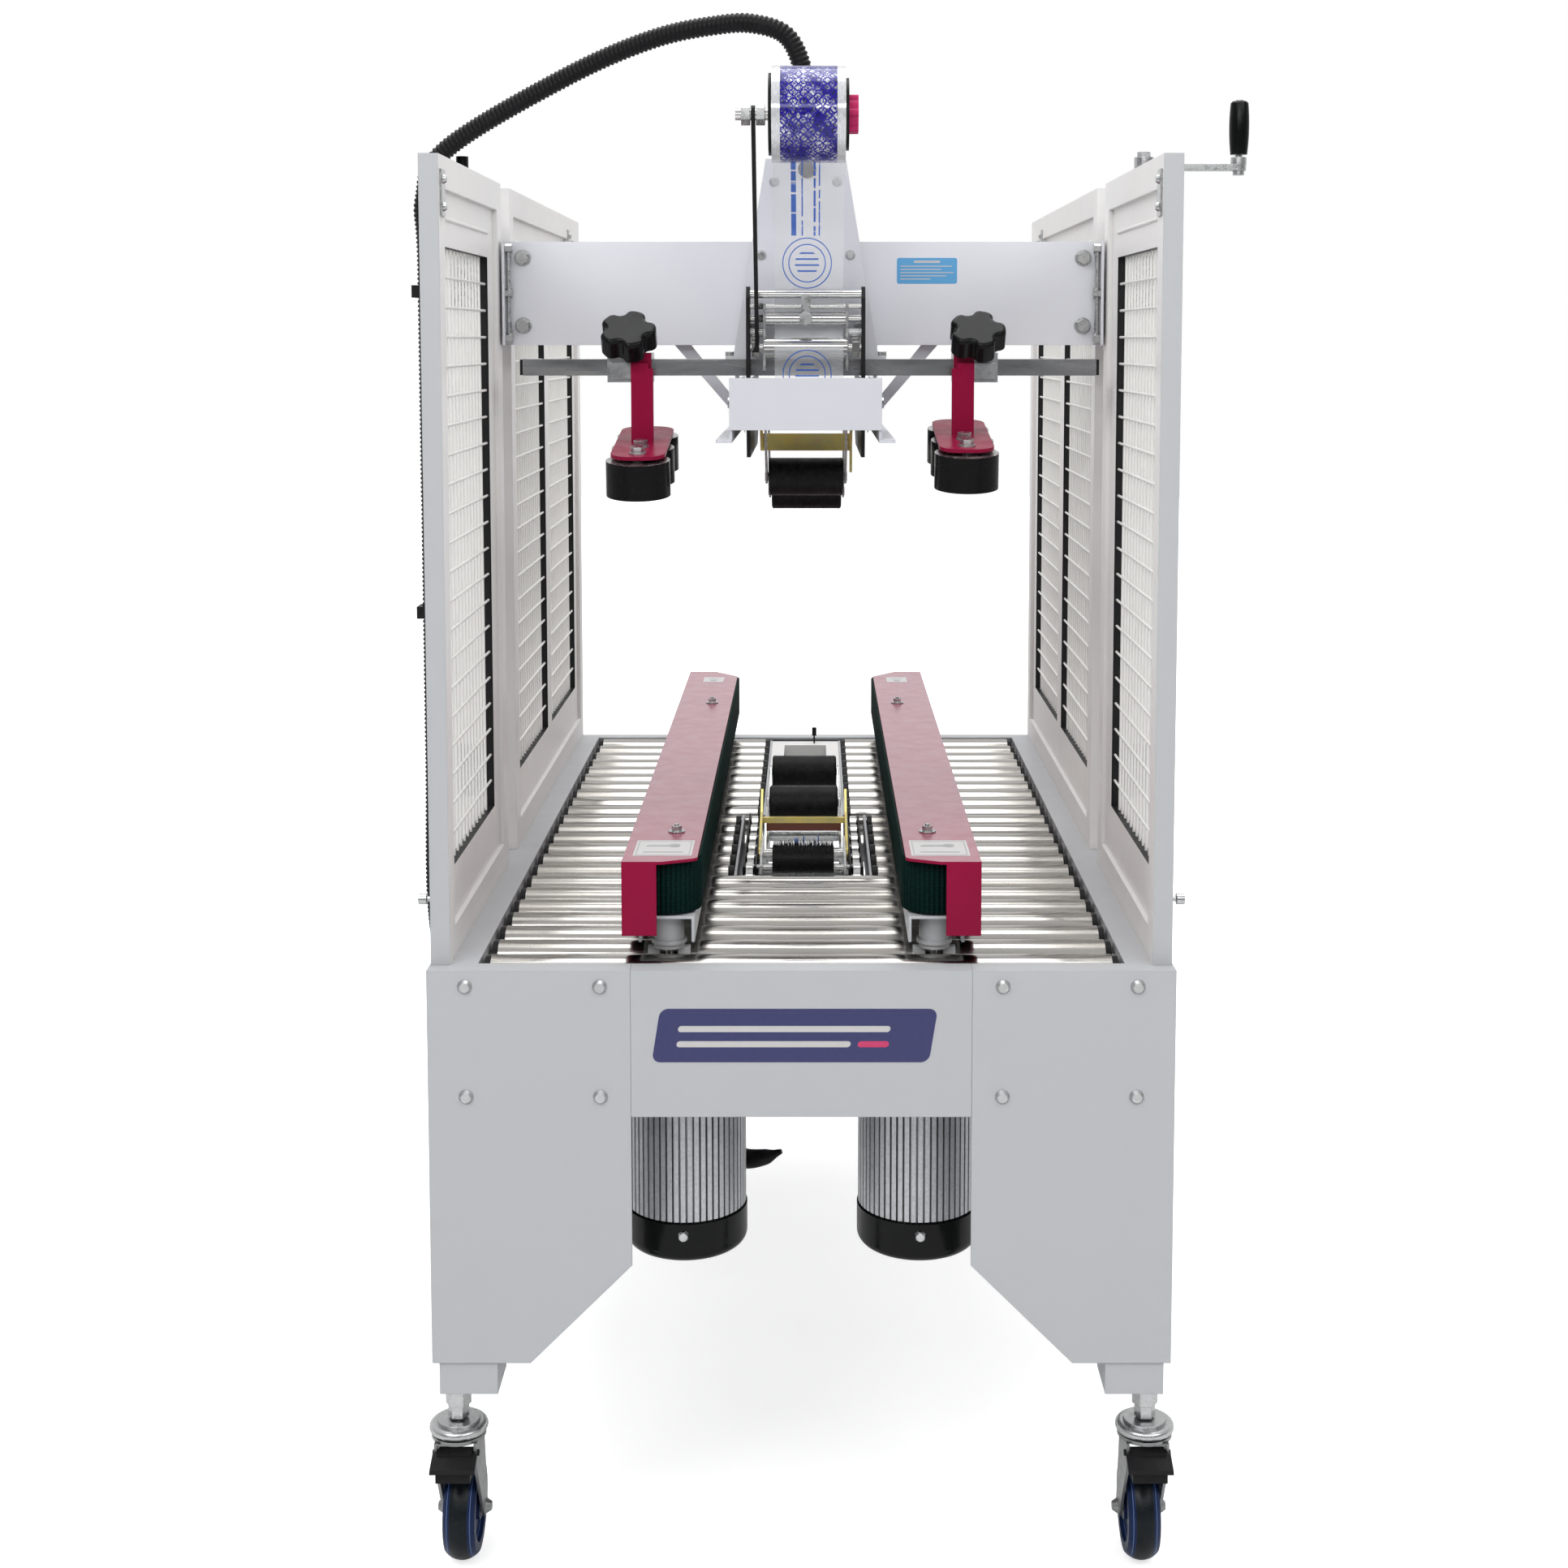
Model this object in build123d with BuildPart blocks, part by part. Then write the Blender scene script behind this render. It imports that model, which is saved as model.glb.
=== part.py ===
from build123d import *
import math
import os

# Carton sealer: roller table, two side-belt units, guards, a lifting beam and two tape heads.
#
# Units are millimetres. X runs across the table, Y runs along it in the direction a carton travels,
# and Z is up. The origin is the middle of the front end panel's top edge, at table height, so the
# floor is at FLOOR and everything above the table has a positive Z.

# ---- driving dimensions -------------------------------------------------------------------------
FLOOR = -625
TABLE_LENGTH = 1214
HALF_WIDTH = 361.5
SHEET = 3
PANEL_HEIGHT = 145
PANEL_HALF_WIDTH = 165
END_FLANGE = 24

BOLT_RADIUS = 4
BOLT_HOLE_RADIUS = 4.2
BOLT_HEAD_RADIUS = 7.25
BOLT_HEAD_HEIGHT = 4
BOLT_X = (194.5, 324.5)
BOLT_Z = (-16, -125)

ROLLER_RADIUS = 19
ROLLER_PITCH = 50.8
ROLLER_COUNT = 23
ROLLER_FIRST_Y = 48
ROLLER_Z = -17.5
ROLLER_HALF_LENGTH = 311
AXLE_RADIUS = 5
FULL_ROLLERS = 7
WIDE_GAP_ROLLERS = 6
WIDE_GAP = 80
NARROW_GAP = 54

FOOT_INNER_X = 298
FOOT_SIZE = 57
FOOT_BOTTOM = -426
LEG_BOTTOM = -393
CASTER_X = 342
CASTER_Y = 33
CASTER_TRAIL = 30
WHEEL_RADIUS = 50
WHEEL_WIDTH = 32
AXLE_Z = FLOOR + WHEEL_RADIUS
STEM_RADIUS = 6

GUARD_X = (341, 360)
GUARD_TOP = 780
DOOR_Y = (18, 415)
REAR_GUARD_Y = (485, 1211)
GUARD_RING = 31
MESH_Z = (84, 695)
WIRE_RADIUS = 1.4
WIRE_STEP_Y = 20.6
WIRE_STEP_Z = 29
HINGE_X = 366
HINGE_Y = 413

COLUMN_X = (361.5, 415.5)
COLUMN_Y = (418, 472)
COLUMN_BOTTOM = -145
COLUMN_TOP = 756
SCREW_X = 388.5
SCREW_Y = 445
SCREW_RADIUS = 8
CRANK_REACH = 108

BEAM_HALF_LENGTH = 338
BEAM_Y = (410, 472)
BEAM_Z = (599, 715)

BAR_Y = (325, 343)
BAR_Z = (566, 584)
BAR_X = (-306, 321)

HEAD_X = 3.5
CARRIAGE_HALF_WIDTH = 80.5
CARRIAGE_Y = (240, 682)
CARRIAGE_Z = (497, 560)

HEAD_ROLLER_RADIUS = 21.5
HEAD_ROLLER_WIDTH = 85
UPPER_FRONT_PIVOT = (345, 520)
UPPER_FRONT_AXLE = (410, 450)
UPPER_REAR_PIVOT = (520, 520)
UPPER_REAR_AXLE = (595, 420)
CUTTER_PIVOT = (425, 540)
CUTTER_BLADE = (478, 487)
LOWER_FRONT_PIVOT = (540, -40)
LOWER_FRONT_AXLE = (609, 28.5)
LOWER_REAR_PIVOT = (725, -40)
LOWER_REAR_AXLE = (799, 28.5)

TAPE_X = 7
TAPE_Y = 165
TAPE_Z = 831
TAPE_WIDTH = 74
TAPE_RADIUS = 48
CORE_RADIUS = 38

SQUEEZER_X = 174
SQUEEZER_TILT = 8
SQUEEZE_ROLLER_RADIUS = 34
SQUEEZE_ROLLER_HEIGHT = 38
SQUEEZE_ROLLER_PITCH = 70
KNOB_TILT = 40

BELT_UNIT_X = 132
BELT_UNIT_Y = (25, 1196)
COVER_X = (102, 175)
COVER_Z = (27, 100.5)
BELT_Z = (44, 97)
BELT_THICKNESS = 4
BELT_TURN_RADIUS = 33
PULLEY_Y = (73.4, 1155)
REAR_NECK_Y = 1089.4
ROD_Y = (300, 900)
ROD_Z = -110
ROD_RADIUS = 10
MOTOR_X = 119
MOTOR_Y = 124
MOTOR_RADIUS = 62.5

# ---- directions and shared names ----------------------------------------------------------------
ALONG_X = (0, 90, 0)
ALONG_Y = (90, 0, 0)
UPRIGHT = (0, 0, 0)
MIDDLE = TABLE_LENGTH / 2
SIDES = {"left": -1, "right": 1}
FRONTWARD = (0, -1, 0)
REARWARD = (0, 1, 0)
UPWARD = (0, 0, 1)

# ---- details of the single pieces ---------------------------------------------------------------
LIP_X = 315
TIE_THICKNESS = 6
TIE_Z = ((-30, -SHEET), (-140, -112))
BEARER_Y = (378, 683, 1186)
BEARER_Z = (-56, -42)
BEARER_RAIL_Z = (-56, -4)
CUP_Z = (-478, -468)
CUP_RADIUS = 29
CUP_ROUNDING = 4.6
COLLAR_RADIUS = 11
COLLAR_HEIGHT = 9
LOCK_NUT = (22, 15)
STEM_NUT = (18, 13)

DOOR_OPENING = (75, 344)
REAR_OPENINGS = ((545, 825), (868, 1148))
BORDER_X = (346, 356)
BEAD_RISE = 27
WIRE_X = 351
HINGE_Z = (110, 670)
HINGE_BARREL = 4
HINGE_PIN = 2
SLOT_WIDTH = 26
SLOT_Z = (235, 745)
ARM_WIDTH = 22
SCREW_TOP = 796
GRIP_PIN = 4
GRIP_Z = (815, 875)
CONDUIT_RADIUS = 11
CONDUIT_X = -431
CONDUIT_END = (5, 371, 811)
CLIP_Z = (291, 660)
GLAND = (-346, 600, -230)

MAST_Y = (332, 410)
BRACE_REACH = 150
PIVOT_RADIUS = 6
UPPER_ARM_GAP = 43.5
GUIDE_RODS = {(300, 654): 4.5, (298, 641): 3, (303, 628): 8, (300, 597): 11}
TAPE_ARM_X = (-51, -47)
STRAP_Y = (305, 311)
BAR_SLOT_Y = (324.6, 343.4)
BAR_SLOT_Z = (565.6, 584.4)
STUD_RADIUS = 4
KNOB_RADIUS = 31
NOTCH_REACH = 31
NOTCH_RADIUS = 7.2
LOBE_ROUNDING = 8
KNOB_TOP_ROUNDING = 5
SQUEEZER_DROP = {"left": 76, "right": 68}

CHEEK_X = (46.8, 49.8)
LOWER_ARM_GAP = 43.2
LOWER_CUTTER_X = (50.2, 53.2)
LOWER_CUTTER_PIVOT = (480, -5)
LOWER_CUTTER_BLADE = (561, 18)
LOWER_CUTTER_FINGER = (600, 45)
SKATE_Y = (405, 680)
SKATE_COUNT = 6
SKATE_FIRST_Y = 412
SKATE_PITCH = 48
SKATE_Z = -15
SKATE_RADIUS = 16.5

CHANNEL_X = (105, 160)
CHANNEL_Z = (16, 42)
UNDER_Z = (-85, -60)
STUD_X = 129
STUD_Y = (150, 920)
STUD_TOP = 109
COVER_STUD_RADIUS = 2.5
DRIVE_SHAFT_RADIUS = 5
GEARBOX_Z = (-133, -85)
CAP_Z = (-321, -280)
FIN_COUNT = 56
PEDAL_PIVOT = (14, -492)
PEDAL_HALF_WIDTH = 22

# ---- drawing helpers ----------------------------------------------------------------------------
def across(x):
    """The plane through x that looks along the table: its own axes are Y and Z."""
    return Plane.YZ.offset(x)


def facing(y):
    """The plane through y that faces the front end: its own axes are X and Z."""
    return Plane.XZ.offset(-y)


def spot(x, y, z, normal):
    """A small working plane at one point, facing along its normal."""
    return Plane(origin=(x, y, z), z_dir=normal)


def block(x, y, z, mode=Mode.ADD):
    """A box between two values along each axis."""
    with Locations(((x[0] + x[1]) / 2, (y[0] + y[1]) / 2, (z[0] + z[1]) / 2)):
        Box(abs(x[1] - x[0]), abs(y[1] - y[0]), abs(z[1] - z[0]), mode=mode)


def rod(centre, radius, length, turn=UPRIGHT, mode=Mode.ADD):
    """A round bar about its centre."""
    with Locations(centre):
        Cylinder(radius, length, rotation=turn, mode=mode)


def post(x, y, z, radius, mode=Mode.ADD):
    """An upright round bar between two heights."""
    rod((x, y, (z[0] + z[1]) / 2), radius, z[1] - z[0], mode=mode)


def shaft(x, y, z, radius, mode=Mode.ADD):
    """A round bar across the table between two X values."""
    rod(((x[0] + x[1]) / 2, y, z), radius, x[1] - x[0], ALONG_X, mode)


def hexagon(plane, across_flats, height):
    """A six-sided prism standing on a plane."""
    with BuildSketch(plane) as outline:
        RegularPolygon(across_flats / 2, 6, major_radius=False)
    extrude(outline.sketch, amount=height)


def dome(plane, radius, height):
    """A button head standing on a plane."""
    with BuildSketch(plane) as outline:
        Circle(radius)
    extrude(outline.sketch, amount=height, taper=32)


def plate(plane, points, thickness):
    """A flat sheet of a straight-sided outline, standing on a plane."""
    with BuildSketch(plane) as outline:
        with BuildLine():
            Polyline(*points, close=True)
        make_face()
    extrude(outline.sketch, amount=thickness)


def link(x, start, end, radius):
    """A flat arm between two X values, with round ends about two (Y, Z) points."""
    dy, dz = end[0] - start[0], end[1] - start[1]
    middle = ((start[0] + end[0]) / 2, (start[1] + end[1]) / 2, 0)
    with BuildSketch(across(x[0])) as outline:
        with Locations(Location(middle, (0, 0, math.degrees(math.atan2(dz, dy))))):
            SlotCenterToCenter(math.hypot(dy, dz), 2 * radius)
    extrude(outline.sketch, amount=x[1] - x[0])


def save(piece, name):
    """Labels a finished piece and writes it."""
    piece.part.label = name
    export_step(piece.part, f"parts/{name}.step")


def span(side, low, high):
    """The X span low to high on the right side, or its mirror image on the left."""
    return (min(side * low, side * high), max(side * low, side * high))


# ---- table --------------------------------------------------------------------------------------
def roller_rows():
    """Each roller's Y, and how far its inner ends stand from the middle: None for a full one."""
    rows = []
    for index in range(ROLLER_COUNT):
        gap = None
        if index >= FULL_ROLLERS:
            gap = WIDE_GAP if index < FULL_ROLLERS + WIDE_GAP_ROLLERS else NARROW_GAP
        rows.append((ROLLER_FIRST_Y + index * ROLLER_PITCH, gap))
    return rows


def make_bed_frame():
    """Side rails, tie bars, bearers round the lower head and the two guide rods, as one weldment."""
    with BuildPart() as bed_frame:
        block((HALF_WIDTH - SHEET, HALF_WIDTH), (SHEET, TABLE_LENGTH - SHEET), (-PANEL_HEIGHT, 0))
        block((LIP_X, HALF_WIDTH), (END_FLANGE, TABLE_LENGTH - END_FLANGE), (-SHEET, 0))
        block((LIP_X, LIP_X + SHEET), (END_FLANGE, TABLE_LENGTH - END_FLANGE), (-60, 0))
        block((335, HALF_WIDTH), (62, TABLE_LENGTH - 62), (-PANEL_HEIGHT, -PANEL_HEIGHT + SHEET))
        block((WIDE_GAP - 4, WIDE_GAP - 1), BEARER_Y[:2], BEARER_RAIL_Z)
        block((NARROW_GAP - 4, NARROW_GAP - 1), BEARER_Y[1:], BEARER_RAIL_Z)
        block((NARROW_GAP - 4, HALF_WIDTH - SHEET), (BEARER_Y[1] - 6, BEARER_Y[1] + 6), BEARER_Z)
        mirror(about=Plane.YZ)
        for y in (BEARER_Y[0], BEARER_Y[2]):
            block((SHEET - HALF_WIDTH, HALF_WIDTH - SHEET), (y - 6, y + 6), BEARER_Z)
        for y in (SHEET + TIE_THICKNESS / 2, TABLE_LENGTH - SHEET - TIE_THICKNESS / 2):
            for z in TIE_Z:
                ends = (y - TIE_THICKNESS / 2, y + TIE_THICKNESS / 2)
                block((SHEET - HALF_WIDTH, HALF_WIDTH - SHEET), ends, z)
        for y in ROD_Y:
            rod((0, y, ROD_Z), ROD_RADIUS, 2 * (HALF_WIDTH - SHEET), ALONG_X)
        with BuildSketch(across(-LIP_X - 2 * SHEET)) as axle_holes:
            with Locations(*[(y, ROLLER_Z) for y, _ in roller_rows()]):
                Circle(AXLE_RADIUS + 0.2)
        extrude(axle_holes.sketch, amount=2 * (LIP_X + 2 * SHEET), mode=Mode.SUBTRACT)
        with BuildSketch(Plane.XZ) as bolt_holes:
            with Locations(*[(s * x, z) for s in (-1, 1) for x in BOLT_X for z in BOLT_Z]):
                Circle(BOLT_HOLE_RADIUS)
        extrude(bolt_holes.sketch, amount=-TABLE_LENGTH, mode=Mode.SUBTRACT)
    save(bed_frame, "bed_frame")


def make_end_panels():
    with BuildPart() as end_panels:
        width = (0.2 - PANEL_HALF_WIDTH, PANEL_HALF_WIDTH - 0.2)
        block(width, (0, SHEET), (-PANEL_HEIGHT, 0))
        block(width, (SHEET, END_FLANGE), (-SHEET, 0))
        block(width, (SHEET, 16), (-PANEL_HEIGHT, -PANEL_HEIGHT + SHEET - 1))
        mirror(about=facing(MIDDLE))
    save(end_panels, "end_panels")


def make_legs():
    """Four corner legs: a folded plate with a cut-away inner edge, on a square foot tube."""
    foot_x = (FOOT_INNER_X, FOOT_INNER_X + FOOT_SIZE)
    foot_y = (SHEET, SHEET + FOOT_SIZE)
    wall = SHEET
    outline = [
        (PANEL_HALF_WIDTH, 0),
        (HALF_WIDTH, 0),
        (HALF_WIDTH, LEG_BOTTOM),
        (265, LEG_BOTTOM),
        (PANEL_HALF_WIDTH, -294),
    ]
    with BuildPart() as legs:
        plate(facing(0), outline, -SHEET)
        block((PANEL_HALF_WIDTH, HALF_WIDTH - SHEET), (SHEET, END_FLANGE), (-SHEET, 0))
        block((HALF_WIDTH - SHEET, HALF_WIDTH), (SHEET, 62), (LEG_BOTTOM, -PANEL_HEIGHT))
        block(foot_x, foot_y, (FOOT_BOTTOM, -PANEL_HEIGHT))
        hollow_x = (foot_x[0] + wall, foot_x[1] - wall)
        hollow_y = (foot_y[0] + wall, foot_y[1] - wall)
        block(hollow_x, hollow_y, (FOOT_BOTTOM + 6, -PANEL_HEIGHT), Mode.SUBTRACT)
        post(CASTER_X, CASTER_Y, (FOOT_BOTTOM, FOOT_BOTTOM + 6), STEM_RADIUS + 0.2, Mode.SUBTRACT)
        with BuildSketch(Plane.XZ) as bolt_holes:
            with Locations(*[(x, z) for x in BOLT_X for z in BOLT_Z]):
                Circle(BOLT_HOLE_RADIUS)
        extrude(bolt_holes.sketch, amount=-SHEET, mode=Mode.SUBTRACT)
        mirror(about=Plane.YZ)
        mirror(about=facing(MIDDLE))
    save(legs, "legs")


def make_frame_bolts():
    """Button-head bolts with their nuts, and the threaded caster stems with their lock nuts."""
    behind = SHEET + TIE_THICKNESS
    collar_bottom = FOOT_BOTTOM - COLLAR_HEIGHT
    lock_bottom = collar_bottom - LOCK_NUT[1]
    with BuildPart() as frame_bolts:
        post(CASTER_X, CASTER_Y, CUP_Z, CUP_RADIUS)
        fillet(frame_bolts.edges().filter_by(GeomType.CIRCLE), CUP_ROUNDING)
        for x in BOLT_X:
            for z in BOLT_Z:
                dome(spot(x, 0, z, FRONTWARD), BOLT_HEAD_RADIUS, BOLT_HEAD_HEIGHT)
                rod((x, (behind + 8) / 2, z), BOLT_RADIUS, behind + 8, ALONG_Y)
                hexagon(spot(x, behind, z, REARWARD), 13, 6.5)
        post(CASTER_X, CASTER_Y, (CUP_Z[1], FOOT_BOTTOM + 12), STEM_RADIUS)
        post(CASTER_X, CASTER_Y, (CUP_Z[1], CUP_Z[1] + 3), CUP_RADIUS - 8)
        post(CASTER_X, CASTER_Y, (collar_bottom, FOOT_BOTTOM), COLLAR_RADIUS)
        hexagon(spot(CASTER_X, CASTER_Y, lock_bottom, UPWARD), *LOCK_NUT)
        hexagon(spot(CASTER_X, CASTER_Y, lock_bottom - STEM_NUT[1], UPWARD), *STEM_NUT)
        mirror(about=Plane.YZ)
        mirror(about=facing(MIDDLE))
    save(frame_bolts, "frame_bolts")


def make_bed_rollers():
    """Every roller of the table with its end caps and axle, split where the lower head stands."""
    with BuildPart() as bed_rollers:
        for y, gap in roller_rows():
            spans = [(-ROLLER_HALF_LENGTH, ROLLER_HALF_LENGTH)]
            if gap:
                spans = [(-ROLLER_HALF_LENGTH, -gap), (gap, ROLLER_HALF_LENGTH)]
            for low, high in spans:
                shaft((low + 6, high - 6), y, ROLLER_Z, ROLLER_RADIUS)
                shaft((low, high), y, ROLLER_Z, ROLLER_RADIUS - 1.2)
                inner = 3.8 if gap else 6.5
                ends = (low - 6.5, high + inner) if low < 0 else (low - inner, high + 6.5)
                shaft(ends, y, ROLLER_Z, AXLE_RADIUS)
    save(bed_rollers, "bed_rollers")


def make_control_box():
    """Switchgear box hung under the left side rail, with a cable gland facing outwards."""
    with BuildPart() as control_box:
        block((-330, -210), (480, 760), (-330, -160))
        fillet(control_box.edges().filter_by(Axis.Z), 6)
        block((-205, -210), (490, 750), (-320, -170))
        block((-352, -300), (520, 720), (-160, -PANEL_HEIGHT))
        shaft((GLAND[0], -330), GLAND[1], GLAND[2], 15)
        shaft((-349 + 9, -330), GLAND[1], GLAND[2], 18)
    save(control_box, "control_box")


def make_conduit():
    """Ribbed hose from the control box, up the left column and over to the top of the mast."""
    with BuildPart() as conduit:
        with BuildLine() as path:
            Spline(
                (GLAND[0] - 0.2, GLAND[1], GLAND[2]),
                (-385, 580, -226),
                (-422, 505, -170),
                (CONDUIT_X, SCREW_Y, -60),
                tangents=[(-1, 0, 0), (0, 0, 1)],
            )
            Line((CONDUIT_X, SCREW_Y, -60), (CONDUIT_X, SCREW_Y, 690))
            Spline(
                (CONDUIT_X, SCREW_Y, 690),
                (CONDUIT_X, 430, 765),
                (-402, 424, 820),
                (-268, 412, 897),
                (-167, 397, 938),
                (-50, 376, 952),
                (-4, 371, 926),
                (CONDUIT_END[0], CONDUIT_END[1], CONDUIT_END[2] + 0.5),
                tangents=[(0, 0, 1), (0, 0, -1)],
            )
        with BuildSketch(Plane(path.line @ 0, z_dir=(-1, 0, 0))):
            Circle(CONDUIT_RADIUS)
        sweep(path=path.line)
    save(conduit, "conduit")


# ---- columns, guards and doors ------------------------------------------------------------------
def make_columns():
    """Two slotted square tubes, each with end plates for its screw and the fixed hinge halves."""
    x, y, wall = COLUMN_X, COLUMN_Y, SHEET
    with BuildPart() as columns:
        block(x, y, (COLUMN_BOTTOM, COLUMN_TOP))
        inside_x = (x[0] + wall, x[1] - wall)
        inside_y = (y[0] + wall, y[1] - wall)
        block(inside_x, inside_y, (COLUMN_BOTTOM + 6, COLUMN_TOP - 6), Mode.SUBTRACT)
        slot = (SCREW_Y - SLOT_WIDTH / 2, SCREW_Y + SLOT_WIDTH / 2)
        block((x[0], x[0] + wall), slot, SLOT_Z, Mode.SUBTRACT)
        for z in (COLUMN_BOTTOM, COLUMN_TOP - 6):
            post(SCREW_X, SCREW_Y, (z, z + 6), SCREW_RADIUS + 0.5, Mode.SUBTRACT)
        for z in HINGE_Z:
            block((HINGE_X, HINGE_X + 32), (y[0] - 2.5, y[0]), (z - 30, z + 30))
            post(HINGE_X, HINGE_Y, (z - 11, z + 11), HINGE_BARREL + 0.4, Mode.SUBTRACT)
            for low, high in ((z - 30, z - 11), (z + 11, z + 30)):
                post(HINGE_X, HINGE_Y, (low, high), HINGE_BARREL)
            post(HINGE_X, HINGE_Y, (z - 30, z + 30), HINGE_PIN)
        mirror(about=Plane.YZ)
        for z in CLIP_Z:
            clip_x = (CONDUIT_X - 15, -x[1])
            block(clip_x, (SCREW_Y - 15, SCREW_Y + 15), (z - 7, z + 7))
            post(CONDUIT_X, SCREW_Y, (z - 7, z + 7), CONDUIT_RADIUS + 0.3, Mode.SUBTRACT)
    save(columns, "columns")


def guard_panel(y, openings):
    """A right-hand guard: a tube ring with a thinner border set in it, open for the wire mesh."""
    block(GUARD_X, y, (0, GUARD_TOP))
    inner = (y[0] + GUARD_RING, y[1] - GUARD_RING)
    depth = (GUARD_TOP - GUARD_RING, GUARD_RING)
    for face in ((GUARD_X[0], BORDER_X[0]), (BORDER_X[1], GUARD_X[1])):
        block(face, inner, depth, Mode.SUBTRACT)
    for opening in openings:
        block(BORDER_X, opening, MESH_Z, Mode.SUBTRACT)
    bead_z = MESH_Z[1] + BEAD_RISE
    for opening in openings:
        rod((BORDER_X[0], (opening[0] + opening[1]) / 2, bead_z), 2, opening[1] - opening[0], ALONG_Y)


def stay_plate(y, z):
    """A small two-bolt plate on a guard's inner face."""
    block((GUARD_X[0] - 2, GUARD_X[0]), (y - 10, y + 10), (z - 22, z + 22))
    for dz in (-13, 13):
        dome(spot(GUARD_X[0] - 2, y, z + dz, (-1, 0, 0)), 5, 3)


def make_rear_guards():
    with BuildPart() as rear_guards:
        guard_panel(REAR_GUARD_Y, REAR_OPENINGS)
        stay_plate(REAR_GUARD_Y[1] - 140, GUARD_TOP - 40)
        mirror(about=Plane.YZ)
    save(rear_guards, "rear_guards")


def make_door(side):
    """A hinged front guard with its hinge knuckles and a spring latch at the lower corner."""
    with BuildPart() as door:
        guard_panel(DOOR_Y, [DOOR_OPENING])
        stay_plate(DOOR_Y[0] + 16, GUARD_TOP - 36)
        for z in HINGE_Z:
            block((GUARD_X[1], GUARD_X[1] + 2.5), (378, HINGE_Y), (z - 10.5, z + 10.5))
            post(HINGE_X, HINGE_Y, (z - 10.5, z + 10.5), HINGE_BARREL)
            block((GUARD_X[1], HINGE_X), (HINGE_Y - 4, HINGE_Y - 1), (z - 10.5, z + 10.5))
            post(HINGE_X, HINGE_Y, (z - 10.5, z + 10.5), HINGE_PIN + 0.2, Mode.SUBTRACT)
        block((GUARD_X[1], GUARD_X[1] + 3), (40, 76), (14, 78))
        shaft((GUARD_X[1] + 3, GUARD_X[1] + 10), 58, 55, 2.5)
        shaft((GUARD_X[1] + 10, GUARD_X[1] + 18), 58, 55, 5.5)
        shaft((GUARD_X[1] + 3, GUARD_X[1] + 6), 58, 24, 4)
        if side < 0:
            mirror(about=Plane.YZ, mode=Mode.REPLACE)
    save(door, "guard_door_left" if side < 0 else "guard_door_right")


def wires(opening):
    """Welded mesh for one opening: upright wires outside, level wires inside, touching."""
    y_count = round((opening[1] - opening[0]) / WIRE_STEP_Y)
    z_count = round((MESH_Z[1] - MESH_Z[0]) / WIRE_STEP_Z)
    y_step = (opening[1] - opening[0]) / y_count
    z_step = (MESH_Z[1] - MESH_Z[0]) / z_count
    for index in range(1, y_count):
        post(WIRE_X + WIRE_RADIUS, opening[0] + index * y_step, MESH_Z, WIRE_RADIUS)
    middle = (opening[0] + opening[1]) / 2
    for index in range(1, z_count):
        centre = (WIRE_X - WIRE_RADIUS - 0.01, middle, MESH_Z[0] + index * z_step)
        rod(centre, WIRE_RADIUS, opening[1] - opening[0], ALONG_Y)


def make_door_mesh(side):
    with BuildPart() as mesh:
        wires(DOOR_OPENING)
        if side < 0:
            mirror(about=Plane.YZ, mode=Mode.REPLACE)
    save(mesh, "guard_mesh_left" if side < 0 else "guard_mesh_right")


def make_rear_mesh():
    with BuildPart() as rear_guard_mesh:
        for opening in REAR_OPENINGS:
            wires(opening)
        mirror(about=Plane.YZ)
    save(rear_guard_mesh, "rear_guard_mesh")


# ---- lift ---------------------------------------------------------------------------------------
def make_lift_screws():
    for name, side in SIDES.items():
        x = side * SCREW_X
        with BuildPart() as screw:
            post(x, SCREW_Y, (COLUMN_BOTTOM + 1, SCREW_TOP), SCREW_RADIUS)
            for z in (COLUMN_TOP + 0.3, COLUMN_BOTTOM + 6.3):
                post(x, SCREW_Y, (z, z + 5), SCREW_RADIUS + 5)
            if side < 0:
                post(x, SCREW_Y, (SCREW_TOP, SCREW_TOP + 17), SCREW_RADIUS - 1)
            else:
                post(x, SCREW_Y, (SCREW_TOP, SCREW_TOP + 14), SCREW_RADIUS - 2)
        save(screw, f"lift_screw_{name}")


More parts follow.
